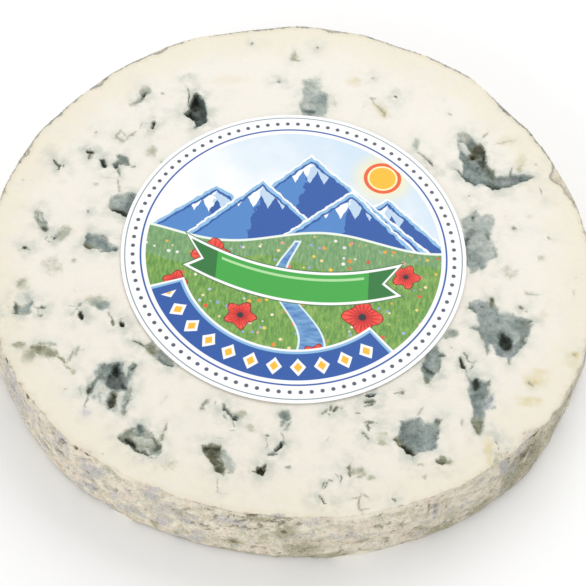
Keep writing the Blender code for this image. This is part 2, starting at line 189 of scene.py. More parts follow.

# Marks are leaning ovals: x, y, half length, half width, turn in degrees, darkness, hue, depth in steps
# Marks of darkness near 1 are dark mould with painted shade, as are such patches
MOULD_MARKS = (
    (-23.6, 38.2, 3.2, 1.3, 100, 0.84, 0, 5.0), (-22.9, 35.6, 1.6, 1.0, 60, 0.82, 0, 4.5),
    (-24.9, 40.8, 1.6, 0.8, 95, 1.0, -0.4, 5.5), (-25.9, 36.9, 1.4, 0.6, 15, 1.0, -0.4, 3.0),
    (-26.3, 41.2, 3.4, 0.22, 98, 0.85, -0.5, 0.8), (-36.4, 42.1, 1.3, 1.1, 60, 0.42, -0.6, 0.5),
    (-36.4, 41.0, 0.75, 0.6, 60, 0.97, -0.4, 1.5), (-37.6, 39.4, 1.8, 0.75, 42, 0.55, -0.5, 0.8),
    (-38.6, 38.2, 1.0, 0.6, 30, 0.3, -0.6, 0.2), (-32.4, 41.8, 0.5, 0.25, 0, 0.35, -0.6, 0),
    (-33.7, 32.5, 1.4, 0.45, 78, 1.0, -0.6, 2.0), (-34.2, 32.3, 1.0, 0.3, 80, 0.4, -0.4, 0.6),
    (-36.3, 32.3, 0.8, 0.2, 70, 0.28, -0.6, 0), (-41.2, 29.2, 1.4, 0.3, 60, 0.36, -0.7, 0),
    (-40.6, 27.9, 1.1, 0.4, -30, 0.42, -0.7, 0), (-39.9, 29.6, 1.0, 0.25, -50, 0.3, -0.7, 0),
    (-38.5, 28.9, 2.0, 0.25, 52, 0.36, -0.7, 0), (-46.5, 29.4, 0.35, 0.35, 0, 0.55, -0.8, 0),
    (-47.1, 23.9, 1.1, 0.6, -20, 1.0, -0.5, 1.6), (-46.9, 22.4, 1.1, 0.6, 75, 0.66, -0.6, 0.5),
    (-47.2, 24.9, 0.4, 0.3, 0, 0.45, -0.6, 0.2), (-44.1, 21.8, 0.6, 0.5, 0, 0.7, 0, 1.2),
    (-43.5, 21.0, 1.4, 0.85, -58, 0.97, -0.3, 3.0), (-39.3, 22.3, 1.9, 1.0, -45, 0.66, -0.3, 1.0),
    (-40.3, 21.2, 1.4, 0.6, 10, 0.75, -0.4, 1.2), (-40.8, 20.5, 0.9, 0.6, 60, 0.9, -0.3, 1.5),
    (-39.9, 19.0, 1.6, 0.5, -68, 0.55, -0.5, 0.4), (-36.8, 20.6, 0.6, 0.3, 10, 0.4, -0.6, 0),
    (-54.1, 20.1, 1.5, 0.4, -48, 0.92, -0.6, 0.9), (-53.3, 19.2, 0.9, 0.35, 80, 0.9, -0.6, 0.9),
    (-52.3, 19.7, 0.8, 0.22, -75, 0.6, -0.6, 0.4), (-33.4, 25.2, 1.5, 1.2, 60, 0.14, -0.7, 0),
    (-33.0, 24.9, 1.3, 0.2, -60, 0.25, -0.7, 0), (-30.5, 22.4, 0.5, 0.5, 0, 0.35, -0.3, 0),
    (-42.0, 17.0, 2.2, 0.25, 8, 0.22, -0.8, 0), (-39.6, 15.5, 1.8, 0.25, 110, 0.24, -0.8, 0),
    (-44.4, 15.2, 0.8, 0.4, 0, 0.18, -0.8, 0), (-45.4, 8.0, 0.5, 0.25, -70, 0.7, -0.5, 0.2),
    (-39.6, 11.2, 1.6, 1.3, 30, 0.38, 0, 1.2), (-36.6, 10.8, 1.8, 0.7, 80, 0.74, 0, 1.6),
    (-38.3, 8.1, 2.3, 0.75, -24, 1.0, -0.3, 2.0), (-40.6, 8.9, 0.9, 0.35, -40, 0.8, -0.8, 1.2),
    (-36.2, 12.9, 0.9, 0.4, -30, 0.78, 0, 1.2), (-44.7, 0.2, 2.1, 0.8, 80, 0.8, -0.2, 1.4),
    (-44.3, -1.5, 1.2, 0.5, -10, 0.85, -0.9, 1.4), (-42.2, 0.0, 1.3, 1.2, -40, 0.54, 0, 1.2),
    (-38.6, -1.6, 1.0, 0.6, 0, 0.76, 0, 1.0), (-40.5, -2.3, 1.6, 0.3, -3, 0.8, -0.4, 1.2),
    (-42.2, 0.2, 1.8, 0.9, -25, 0.72, 0, 1.0), (-41.6, 1.4, 1.4, 0.3, -20, 0.8, -0.2, 0.8),
    (-55.4, 4.2, 2.7, 0.95, 118, 0.42, -0.4, 0.6),
    (-54.6, 4.4, 1.9, 0.22, 118, 0.8, -0.4, 0.5), (-56.1, 6.2, 0.8, 0.2, 150, 0.6, -0.5, 0.3),
    (-55.9, 4.4, 0.6, 0.4, 60, 0.8, -0.5, 0.6), (-54.3, 2.2, 0.8, 0.45, 110, 0.88, -0.5, 0.8),
    (-53.7, -0.1, 0.6, 0.18, 70, 0.65, -0.5, 0.3), (-53.0, -0.8, 0.5, 0.18, -10, 0.65, -0.5, 0.3),
    (-52.6, 0.6, 0.4, 0.15, 40, 0.5, -0.5, 0.2), (-50.2, 1.2, 2.2, 1.2, 52, 0.24, -0.7, 0),
    (-50.6, 1.0, 1.2, 0.6, 52, 0.36, -0.6, 0), (-52.0, 0.15, 0.5, 0.42, 70, 1.0, -0.2, 1.2),
    (-57.9, -3.1, 0.6, 0.5, 0, 0.95, -0.6, 0.8), (-57.0, -3.2, 0.4, 0.3, 0, 0.45, -0.5, 0.2),
    (-51.5, -7.5, 2.2, 2.2, 0, 0.1, -0.7, 0), (-47.0, -5.4, 0.5, 0.5, 0, 0.28, -0.7, 0),
    (-57.2, -12.4, 1.4, 1.1, 60, 0.22, -0.8, 0), (-58.1, -12.0, 0.5, 0.35, 0, 0.42, -0.6, 0),
    (-55.6, -15.2, 1.2, 1.6, 0, 0.18, -0.2, 0), (-57.0, -18.9, 0.7, 0.6, 0, 0.4, 0.4, 0.5),
    (-57.9, -18.5, 1.5, 0.45, 95, 0.86, -0.6, 1.0), (-56.8, -19.9, 1.8, 0.22, 0, 0.8, -0.6, 0.8),
    (-54.6, -17.0, 0.7, 0.3, 70, 0.7, 0, 0.6), (-52.2, -17.8, 0.7, 0.42, 20, 0.9, -0.6, 0.6),
    (-53.3, -18.2, 0.9, 0.15, -30, 0.55, -0.6, 0.2), (-53.1, -19.2, 0.8, 0.2, -70, 0.65, -0.6, 0.3),
    (-52.6, -19.9, 0.7, 0.22, 10, 0.55, -0.6, 0.2), (-44.3, -16.6, 0.8, 0.5, 30, 0.66, -0.2, 0.5),
    (-46.1, -17.1, 1.2, 0.16, -3, 0.4, -0.5, 0), (-45.5, -18.3, 1.3, 0.18, 62, 0.5, -0.5, 0),
    (-44.8, -17.5, 0.8, 0.2, 80, 0.5, -0.4, 0.2), (-43.8, -19.2, 1.0, 0.7, -58, 1.0, -0.6, 2.0),
    (-41.0, -15.3, 2.4, 1.3, 0, 0.2, -0.7, 0), (-39.7, -16.6, 1.7, 0.75, -12, 0.56, -0.2, 0.6),
    (-38.7, -16.2, 0.6, 0.8, 0, 0.6, -0.2, 0.5), (-37.5, -18.8, 0.9, 0.3, -60, 0.5, -0.6, 0.3),
    (-36.9, -20.3, 1.2, 0.4, -72, 0.75, -0.6, 0.6), (-34.8, -20.8, 1.1, 0.7, -58, 1.0, -0.5, 2.2),
    (-35.2, -19.4, 0.8, 0.15, 20, 0.4, -0.5, 0), (-55.9, -27.5, 1.4, 0.7, 0, 0.4, -1, 0),
    (-53.4, -30.0, 1.3, 1.5, -20, 0.3, -1, 0), (-50.0, -26.7, 1.7, 0.5, 0, 0.3, -0.4, 0),
    (-50.4, -28.6, 2.8, 1.1, -18, 0.43, -1, 0.3), (-52.2, -27.7, 0.8, 0.7, 40, 0.66, -1, 0.4),
    (-50.3, -29.0, 1.0, 0.5, -15, 0.56, -1, 0.4), (-48.6, -28.6, 0.9, 0.7, -30, 0.55, -0.8, 0.3),
    (-46.4, -30.2, 1.7, 0.4, -42, 0.62, -1, 0.3), (-44.6, -29.2, 1.9, 0.35, 75, 0.45, -0.7, 0.1),
    (-43.6, -28.2, 1.4, 0.35, 80, 0.4, -0.6, 0.1), (-43.9, -33.0, 0.6, 0.5, 0, 0.32, -0.8, 0),
    (-45.2, -32.0, 0.8, 0.3, -30, 0.35, -0.8, 0), (-44.8, -37.3, 0.35, 0.2, 0, 0.35, -0.8, 0),
    (-34.7, -35.0, 1.5, 0.8, -10, 0.84, 0, 2.2), (-31.5, -30.8, 1.1, 0.6, 48, 0.86, -0.4, 1.2),
    (-32.4, -32.6, 1.5, 0.4, 68, 0.6, -0.3, 0.8), (-32.7, -34.4, 0.8, 0.3, -60, 0.8, -0.3, 1.0),
    (-34.8, -37.4, 0.6, 0.35, 60, 0.75, -0.4, 1.2), (-35.0, -39.1, 1.8, 0.85, 82, 0.9, -0.7, 2.5),
    (-34.4, -41.2, 0.8, 0.5, -60, 0.45, -0.3, 0.4), (-31.4, -36.9, 1.2, 0.6, 70, 0.58, -0.6, 0.6),
    (-31.7, -38.6, 1.6, 0.24, 68, 0.72, -0.4, 0.3), (-32.6, -38.2, 1.2, 0.18, 60, 0.62, -0.3, 0.3),
    (-32.2, -41.7, 1.1, 0.35, 72, 0.72, -0.5, 0.4), (-40.1, -36.9, 1.2, 0.5, 68, 0.95, -0.5, 1.4),
    (-39.3, -35.2, 1.1, 0.25, 60, 0.65, -0.5, 0.5), (-40.4, -39.4, 1.9, 0.22, 88, 0.5, -0.5, 0.3),
    (-38.6, -37.6, 1.0, 0.15, 70, 0.3, 0, 0), (-37.6, -38.6, 0.9, 0.15, 100, 0.3, 0, 0),
    (-41.8, -37.0, 1.5, 0.2, 85, 0.25, -0.3, 0), (-40.2, -42.5, 1.3, 1.1, 0, 0.14, 1, 0),
    (-28.6, -44.9, 1.0, 0.5, -70, 0.86, -0.1, 1.4), (-29.0, -46.4, 2.0, 0.3, -30, 0.6, -0.3, 1.3),
    (-31.9, -47.4, 1.3, 0.8, 30, 0.5, -0.7, 1.0), (-32.2, -48.2, 0.8, 0.4, -20, 0.85, -0.7, 1.0),
    (-30.4, -48.6, 1.7, 0.75, -35, 1.0, -0.5, 2.4), (-29.0, -50.2, 1.2, 0.4, -35, 0.85, -0.5, 1.6),
    (-27.5, -50.8, 1.5, 0.45, -25, 0.92, -0.5, 1.4), (-26.5, -50.8, 0.9, 0.2, 60, 0.6, -0.4, 0.8),
    (-25.5, -51.9, 1.2, 0.2, 10, 0.5, -0.5, 0.4), (-25.2, -47.9, 1.9, 0.2, -62, 0.75, -0.5, 0.9),
    (-24.7, -49.1, 0.8, 0.5, 50, 0.82, -0.5, 1.2), (-24.5, -50.6, 0.9, 0.5, 80, 0.4, -0.3, 0.6),
    (-23.5, -44.8, 1.1, 0.4, 62, 0.62, -0.8, 0.4), (-23.8, -46.9, 1.0, 0.45, 75, 0.6, -0.8, 0.4),
    (-24.6, -47.3, 1.8, 0.12, 60, 0.5, -0.7, 0.2), (-31.0, -46.2, 1.4, 0.2, 35, 0.65, -0.5, 1.0),
    (-31.0, -25.1, 1.6, 0.42, -22, 0.85, -0.7, 0.8), (-28.3, -26.4, 1.0, 0.6, -30, 0.75, -0.8, 0.9),
    (-24.1, -29.9, 1.3, 0.45, -15, 0.88, -0.3, 1.0), (-26.2, -28.0, 1.2, 0.7, -40, 0.5, -0.1, 0.8),
    (-25.6, -28.9, 1.2, 0.3, -38, 0.74, -0.3, 0.8), (-24.6, -38.4, 1.2, 0.35, 60, 0.16, -0.8, 0),
    (-15.9, -38.6, 1.6, 0.5, 62, 0.55, -0.6, 0.5), (-16.2, -39.5, 0.7, 0.35, 0, 0.6, -0.6, 0.4),
    (-13.5, -38.7, 1.0, 0.13, 95, 0.5, -0.6, 0), (-11.8, -38.9, 0.9, 0.4, 80, 0.85, -0.4, 1.0),
    (-8.7, -40.6, 1.4, 0.9, 20, 0.3, -0.8, 0.3), (-10.6, -40.2, 1.9, 0.45, -52, 0.8, -0.4, 1.2),
    (-9.5, -41.4, 0.9, 0.5, -35, 0.97, -0.3, 1.4), (-11.4, -41.0, 0.9, 0.3, -60, 0.5, -0.5, 0.2),
    (-9.6, -42.9, 0.9, 0.15, -75, 0.6, -0.5, 0.1), (-6.3, -43.4, 1.3, 0.8, -20, 0.22, -0.8, 0),
    (-9.4, -44.4, 0.5, 0.2, 0, 0.35, -0.6, 0), (0.9, -39.8, 1.5, 1.3, 90, 0.62, -0.3, 0.8),
    (0.4, -41.6, 1.2, 0.7, 80, 0.46, -0.4, 0.5), (1.6, -42.6, 1.3, 0.35, 65, 0.35, -0.5, 0.2),
    (-2.4, -44.7, 0.6, 0.25, 20, 0.7, -0.7, 0.3), (-2.5, -46.4, 1.8, 0.16, 95, 0.45, -0.7, 0.2),
    (-1.3, -49.0, 1.2, 0.45, 10, 0.62, -0.5, 0.8), (-0.1, -47.3, 1.5, 0.75, 48, 1.0, -0.4, 3.0),
    (0.8, -45.4, 1.4, 0.2, 110, 0.4, -0.5, 0.2), (-13.6, -48.5, 1.7, 0.55, -5, 0.9, -0.7, 2.2),
    (-13.2, -50.3, 1.9, 0.9, -66, 0.85, -0.9, 2.3),
    (-11.7, -53.2, 1.0, 0.5, -55, 0.85, -0.8, 2.0), (-10.8, -54.3, 1.0, 0.6, -70, 0.5, -0.7, 0.8),
    (-10.5, -51.4, 2.8, 0.8, -60, 0.36, -0.3, 0.4), (-9.6, -54.0, 1.2, 0.25, 25, 0.36, -0.6, 0),
    (-11.7, -56.9, 1.7, 0.16, 88, 0.5, -0.7, 0.1), (-10.7, -58.6, 0.9, 0.12, 0, 0.35, -0.7, 0),
    (-3.4, -53.0, 1.2, 1.1, 0, 0.97, -0.8, 3.0), (-2.6, -52.2, 0.9, 0.45, 60, 0.95, -0.8, 2.5),
    (-4.5, -53.1, 0.7, 0.25, 0, 0.8, -0.8, 1.0), (-21.8, -53.1, 2.0, 1.6, 0, 0.1, -1, 0),
    (2.2, -51.8, 0.5, 0.4, 0, 0.6, -0.6, 0.3), (18.3, -33.8, 1.3, 0.5, 25, 1.0, 0, 2.0),
    (18.0, -35.3, 1.3, 0.6, 8, 0.68, -0.5, 1.2), (17.7, -36.1, 1.1, 0.2, 8, 0.85, -0.5, 1.2),
    (25.1, -32.5, 0.55, 0.4, 60, 0.75, -0.7, 0.3), (23.8, -32.9, 1.1, 0.2, 10, 0.35, -0.6, 0),
    (8.9, -38.3, 1.0, 0.35, 40, 0.7, -0.7, 0.2), (10.2, -37.6, 0.7, 0.35, 80, 0.82, -0.6, 0.3),
    (11.3, -37.7, 0.9, 0.5, 65, 0.84, -0.6, 0.4), (9.8, -38.9, 0.4, 0.25, 0, 0.6, -0.6, 0.2),
    (15.7, -38.1, 0.7, 0.3, 10, 0.68, -0.8, 0.2), (18.5, -40.1, 1.3, 0.35, 8, 0.8, -0.6, 0.5),
    (18.2, -41.3, 1.2, 0.4, 85, 0.78, -0.6, 0.5), (17.6, -43.5, 1.3, 0.4, -52, 0.8, -0.6, 0.6),
    (21.0, -43.6, 1.0, 1.5, 0, 0.14, -0.9, 0), (21.0, -45.0, 1.0, 0.3, 0, 0.38, -1, 0),
    (9.9, -44.5, 0.8, 0.15, 70, 0.4, -0.7, 0), (28.6, -36.7, 1.0, 0.3, 65, 0.35, -0.7, 0),
    (28.6, -41.0, 2.0, 1.2, 30, 0.58, 0, 1.4), (30.8, -43.0, 1.4, 1.6, 0, 0.6, 0, 1.4),
    (27.2, -43.6, 1.3, 1.4, 0, 0.7, 0, 1.5), (30.2, -45.4, 1.6, 0.6, 5, 0.56, 0.5, 1.3),
    (25.8, -45.2, 1.0, 0.6, -50, 0.88, -0.6, 2.2), (26.6, -46.2, 1.7, 0.75, -42, 0.97, -0.6, 2.8),
    (24.3, -43.6, 1.0, 0.4, -20, 0.82, -0.7, 1.2), (24.6, -44.6, 0.9, 0.3, -60, 0.75, -0.9, 1.2),
    (32.3, -41.6, 0.9, 0.3, 85, 0.82, -0.3, 1.3), (33.0, -38.6, 0.7, 0.45, 10, 0.8, -0.6, 1.0),
    (31.6, -39.7, 0.9, 0.7, 30, 0.58, -0.3, 1.2), (25.2, -40.6, 1.1, 0.6, 60, 0.72, 0, 1.3),
    (27.4, -47.9, 0.8, 0.15, -95, 0.6, -0.5, 0.2), (29.0, -49.0, 0.7, 0.3, 0, 0.35, -0.8, 0),
    (33.6, -47.0, 0.9, 0.4, 0, 0.45, -0.8, 0.2), (34.7, -48.0, 1.2, 0.6, 20, 0.4, -0.8, 0.2),
    (33.3, -48.1, 1.5, 0.9, 8, 0.74, -0.8, 0.6), (33.2, -48.5, 0.9, 0.45, 0, 0.88, -0.8, 0.8),
    (16.4, -51.5, 1.2, 1.0, 0, 0.3, -0.8, 0.2), (14.8, -51.8, 1.6, 0.42, 95, 0.72, -0.8, 0.6),
    (14.4, -50.9, 0.6, 0.4, 0, 0.66, -0.8, 0.5), (17.1, -50.8, 0.5, 0.25, 60, 0.5, -0.6, 0.2),
    (17.2, -52.6, 0.9, 0.3, 40, 0.4, -0.8, 0), (19.0, -52.9, 1.0, 0.4, 20, 0.32, -0.8, 0),
    (13.0, -53.5, 0.9, 0.25, 85, 0.72, -0.7, 0.3), (12.1, -53.0, 0.7, 0.2, -50, 0.5, -0.7, 0.1),
    (10.9, -54.2, 0.8, 0.2, -35, 0.5, -0.7, 0.2), (9.3, -55.4, 1.0, 0.22, 80, 0.72, -0.7, 0.5),
    (10.0, -55.2, 1.0, 0.32, 82, 0.8, -0.7, 0.6), (9.6, -58.7, 1.0, 0.3, -28, 0.95, -0.7, 0.8),
    (8.9, -58.1, 0.5, 0.2, 60, 0.65, -0.7, 0.3), (17.2, -57.2, 0.6, 0.2, 80, 0.35, -0.9, 0),
    (16.1, -57.6, 1.1, 0.18, 25, 0.38, -0.9, 0), (16.8, -58.9, 1.1, 0.2, 95, 0.4, -0.9, 0),
    (18.0, -59.9, 1.0, 0.15, 0, 0.35, -0.9, 0), (18.3, -57.1, 0.7, 0.2, -40, 0.35, -0.9, 0),
    (23.8, -57.4, 0.6, 0.32, -30, 0.8, -0.7, 0.4), (33.2, -22.6, 0.9, 0.4, -10, 0.82, -0.3, 0.8),
    (32.4, -25.8, 1.3, 0.3, 80, 0.7, -0.4, 1.0), (30.3, -29.2, 0.9, 0.6, 0, 0.8, -0.6, 1.2),
    (31.3, -23.7, 1.5, 0.2, 65, 0.45, 0.1, 1.0), (30.4, -24.3, 1.2, 0.2, 60, 0.5, 0.1, 1.1),
    (29.0, -25.4, 0.7, 0.3, -50, 0.85, 0, 1.2), (30.2, -26.5, 1.3, 0.28, -35, 1.0, 0, 1.6),
    (31.3, -27.3, 0.8, 0.2, 5, 0.98, 0, 1.3), (34.8, -17.4, 1.4, 1.0, 20, 0.34, -0.5, 0.4),
    (35.4, -17.1, 0.6, 0.6, 0, 0.6, -0.4, 0.5), (34.0, -18.4, 0.6, 0.35, 0, 0.6, -0.4, 0.4),
    (37.3, -24.6, 1.6, 0.6, -68, 0.92, -0.7, 2.0), (36.9, -23.7, 0.5, 0.4, 0, 0.8, -0.6, 1.0),
    (38.6, -23.2, 1.4, 0.28, -55, 0.7, -0.5, 0.5), (39.6, -24.4, 1.2, 0.25, 62, 0.6, -0.4, 0.4),
    (38.0, -22.5, 0.6, 0.3, -40, 0.6, -0.6, 0.3), (39.3, -25.3, 0.8, 0.3, 30, 0.5, -0.4, 0.3),
    (38.2, -26.9, 0.9, 0.15, -75, 0.4, -0.5, 0.1), (42.9, -33.4, 2.0, 0.8, 72, 0.36, 0.7, 0.7),
    (41.4, -30.2, 1.6, 0.6, 85, 0.7, 0.3, 1.8), (38.9, -29.7, 1.5, 0.35, 85, 0.5, -0.4, 1.0),
    (42.7, -29.4, 1.4, 0.35, 85, 0.72, -0.4, 1.2), (40.2, -29.2, 1.6, 0.9, 88, 1.0, -0.2, 2.4),
    (40.6, -31.8, 1.2, 0.7, 80, 0.74, 0, 1.8), (40.9, -34.6, 1.4, 0.8, 90, 0.64, 0.1, 1.5),
    (40.6, -37.4, 1.6, 0.8, 90, 0.58, -0.4, 1.3), (40.8, -38.8, 0.9, 0.5, 0, 0.66, -0.8, 1.3),
    (40.6, -40.3, 1.0, 0.7, 85, 0.8, -0.9, 1.5), (43.9, -34.6, 0.7, 0.3, 40, 0.4, 0.2, 0.2),
    (37.5, -38.6, 0.7, 0.25, -80, 0.32, -0.7, 0), (44.8, -43.6, 1.3, 0.14, 105, 0.85, -0.7, 0.3),
    (45.6, -46.0, 1.0, 0.16, -40, 0.8, -0.7, 0.3), (46.8, -45.3, 0.8, 0.15, 60, 0.8, -0.7, 0.3),
    (46.6, -46.4, 0.7, 0.15, -20, 0.7, -0.6, 0.3), (40.6, -9.8, 1.8, 1.1, 5, 0.54, 0.4, 1.1),
    (41.5, -9.6, 0.3, 0.25, 0, 0.85, -0.5, 1.0), (39.8, -11.2, 0.5, 0.3, -20, 0.85, -0.6, 0.9),
    (38.6, -10.3, 0.6, 0.5, 0, 0.7, -0.5, 0.7), (43.5, -8.2, 1.0, 0.4, 88, 0.82, -0.8, 0.8),
    (49.2, -13.7, 1.6, 1.1, 0, 0.64, -0.1, 1.3), (51.2, -13.6, 1.3, 0.7, -30, 0.72, -0.4, 1.1),
    (51.7, -12.9, 0.6, 0.2, 10, 0.85, -0.4, 0.8), (44.0, -14.0, 3.2, 0.5, 100, 0.42, 0.2, 1.1),
    (46.5, -13.6, 2.6, 0.35, 95, 0.48, 0, 1.1), (43.0, -17.0, 1.5, 0.9, -50, 0.62, 0.1, 1.2),
    (45.9, -21.1, 1.8, 0.9, 5, 0.56, 0.5, 1.2), (49.0, -17.6, 1.1, 0.5, 50, 0.34, 0, 1.0),
    (50.4, -17.5, 1.6, 0.4, 75, 0.7, -0.4, 1.1), (49.6, -19.8, 1.2, 0.3, 55, 0.68, -0.3, 0.9),
    (42.5, -20.6, 1.6, 0.3, 90, 0.56, -0.3, 0.6), (47.1, -23.1, 1.0, 0.4, 95, 0.52, -0.6, 0.5),
    (39.5, -15.9, 1.1, 0.25, -25, 0.7, -0.5, 0.5), (41.2, -17.2, 1.2, 0.3, -60, 0.7, -0.4, 0.9),
    (45.7, -16.6, 1.0, 0.7, -60, 0.96, -0.1, 3.0), (46.5, -18.4, 2.0, 1.5, 112, 1.0, 0, 4.0),
    (46.7, -19.4, 1.0, 0.8, 80, 1.0, 0, 4.5), (49.7, -9.7, 0.75, 0.5, 10, 0.78, -0.7, 0.4),
    (47.3, -0.8, 1.8, 1.6, 0, 0.14, -0.7, 0), (52.3, -5.6, 2.0, 0.6, -8, 0.18, -0.8, 0),
    (51.5, -5.9, 1.0, 0.35, 0, 0.22, -0.8, 0), (41.5, 12.2, 2.0, 1.4, 0, 0.32, -0.1, 0.8),
    (40.2, 6.3, 1.6, 0.7, 20, 0.32, 0, 0.9), (42.6, 4.6, 1.9, 1.3, 60, 0.3, 0, 0.9),
    (38.9, 2.5, 1.4, 2.0, 0, 0.56, 0, 0.9), (41.2, 0.8, 1.5, 0.8, -50, 0.56, 0, 0.9),
    (40.6, 2.2, 1.9, 0.25, -62, 0.66, 0, 0.8),
    (39.6, -0.8, 1.0, 0.8, 60, 0.52, -0.4, 0.5), (39.0, 9.2, 1.0, 0.5, 50, 0.68, 0, 1.0),
    (39.3, 13.3, 0.5, 0.45, 40, 0.97, -0.1, 1.2), (39.6, 14.4, 0.9, 0.2, 60, 0.6, -0.3, 0.4),
    (42.7, 8.4, 0.8, 0.25, -72, 0.82, -0.4, 0.8), (37.9, 7.0, 1.2, 0.45, 80, 0.92, 0, 1.2),
    (44.4, 4.4, 1.2, 0.18, -72, 0.55, -0.3, 0.5), (46.4, 14.1, 1.2, 0.2, 30, 0.2, -0.8, 0),
    (51.6, 14.6, 1.0, 0.8, 0, 0.12, -0.7, 0), (48.3, 11.1, 0.6, 0.5, 60, 0.75, -0.7, 0.4),
    (56.1, 9.1, 0.3, 0.25, 0, 0.42, -0.7, 0), (54.4, 3.5, 1.1, 0.7, 70, 0.2, -0.8, 0),
    (36.9, 35.2, 1.6, 1.1, 90, 0.26, -0.5, 0.6), (38.1, 35.6, 1.0, 0.3, 90, 0.45, -0.6, 0.6),
    (36.1, 32.4, 2.2, 0.35, 95, 0.6, 0.2, 1.0), (38.6, 28.2, 1.4, 1.2, 90, 0.68, 0, 1.6),
    (38.6, 25.6, 1.3, 1.0, 30, 0.62, 0, 1.7), (40.5, 31.9, 2.0, 1.6, 100, 0.86, -0.8, 2.4),
    (41.6, 30.6, 1.6, 0.6, 100, 0.93, -0.6, 2.4), (41.3, 28.7, 1.3, 1.1, 0, 0.88, -0.4, 2.2),
    (39.2, 30.1, 0.7, 0.55, 20, 1.0, -0.9, 3.0), (43.3, 25.9, 1.8, 0.35, -60, 0.86, -0.6, 1.8),
    (43.8, 22.0, 2.0, 0.9, -12, 0.93, -0.3, 1.9), (38.6, 23.3, 1.9, 0.5, -30, 0.88, 0, 1.5),
    (41.9, 25.0, 1.4, 1.1, 90, 0.6, -0.1, 1.7), (40.3, 26.6, 1.3, 0.3, -60, 0.86, 0, 1.7),
    (35.7, 25.6, 1.0, 0.25, -38, 0.88, -0.6, 0.8), (46.8, 24.1, 1.6, 0.8, 25, 0.6, -0.2, 1.4),
    (49.2, 24.9, 1.6, 0.8, 15, 0.66, 0.8, 1.0), (47.8, 26.5, 1.0, 0.3, 95, 0.75, -0.2, 0.8),
    (52.3, 25.5, 1.0, 0.25, 12, 0.66, -0.7, 0.5), (45.6, 22.3, 1.6, 0.3, 20, 0.8, -0.3, 1.5),
    (50.0, 28.6, 2.2, 0.8, 75, 0.14, -1, 0), (28.9, 28.3, 1.9, 0.25, -48, 0.8, -0.7, 0.9),
    (29.9, 27.2, 1.1, 0.3, -60, 0.8, -0.6, 0.8), (27.6, 29.6, 1.0, 0.3, -30, 0.4, -0.5, 0.2),
    (26.3, 32.4, 1.6, 0.6, 90, 0.32, -0.3, 0.3), (38.4, 18.8, 0.45, 0.3, 50, 0.5, -0.8, 0),
    (53.5, 29.1, 0.4, 0.3, 40, 0.5, -0.8, 0), (54.3, 21.6, 1.1, 0.15, -65, 0.42, -0.9, 0),
    (46.4, 34.7, 2.2, 0.25, 20, 0.25, -0.9, 0), (41.9, 36.4, 1.1, 0.3, 50, 0.28, -0.8, 0),
    (0.6, 47.2, 1.6, 0.8, 88, 0.42, -0.3, 0.5), (1.0, 43.6, 1.6, 1.1, 90, 0.38, -0.1, 0.9),
    (4.7, 43.3, 1.4, 0.9, -70, 0.6, 0, 0.9), (4.4, 41.0, 1.0, 1.4, 0, 0.5, -0.1, 0.8),
    (1.8, 41.4, 1.4, 0.7, 8, 0.26, 0, 0.5), (1.3, 39.9, 1.2, 0.4, -5, 0.82, -0.1, 1.0),
    (-0.1, 40.6, 1.4, 0.2, -65, 0.6, -0.3, 0.6), (2.4, 47.6, 1.2, 0.15, 75, 0.45, -0.4, 0.3),
    (6.6, 42.6, 1.2, 2.2, 0, 0.08, -0.6, 0), (-2.9, 55.5, 1.4, 0.8, 75, 0.36, -0.8, 0.3),
    (-2.3, 54.4, 0.9, 0.3, 0, 0.4, -0.8, 0.2), (2.4, 58.6, 0.4, 0.35, 60, 0.62, -0.6, 0.2),
    (-13.1, 58.5, 0.55, 0.3, 65, 0.5, -0.8, 0.2), (-5.7, 47.6, 0.5, 0.42, 0, 0.8, -0.3, 0.4),
    (21.3, 45.5, 0.55, 0.5, 0, 0.9, -0.6, 0.5), (15.9, 50.8, 0.45, 0.28, 70, 0.62, -1, 0.2),
    (14.1, 42.0, 1.2, 0.15, 60, 0.22, -0.7, 0), (16.3, 43.4, 2.0, 0.22, -55, 0.35, -1, 0.1),
    (18.1, 41.1, 1.5, 0.42, -55, 0.5, -1, 0.3), (51.8, -28.2, 0.6, 0.4, -20, 0.5, -1, 0.1),
    (61.2, -20.6, 0.4, 0.35, 0, 0.6, -1, 0.1),
)

# Ridges of clean paste stand inside pockets: x, y, half length, half width, turn, darkness
PASTE_RIDGES = (
    (-22.8, 33.5, 1.3, 0.45, 35, 0.16), (-55.6, 5.3, 1.0, 0.3, 118, 0.16),
    (-33.3, -31.2, 1.9, 0.42, 98, 0.06), (-33.4, -39.3, 2.0, 0.5, 95, 0.08),
    (-38.3, -36.5, 1.5, 0.6, 80, 0.08), (-27.6, -47.9, 2.2, 1.1, -12, 0.3),
    (-26.4, -50.3, 0.9, 0.35, -55, 0.14), (-28.2, -49.9, 0.7, 0.2, -60, 0.2),
    (-1.0, -46.6, 1.3, 0.9, 70, 0.05),
    (38.4, -24.6, 0.9, 0.35, -60, 0.1), (48.5, -18.6, 0.8, 0.3, 75, 0.3),
    (43.4, -20.2, 0.9, 0.4, 80, 0.12),
    (37.3, 32.2, 1.9, 0.9, -50, 0.14),
)

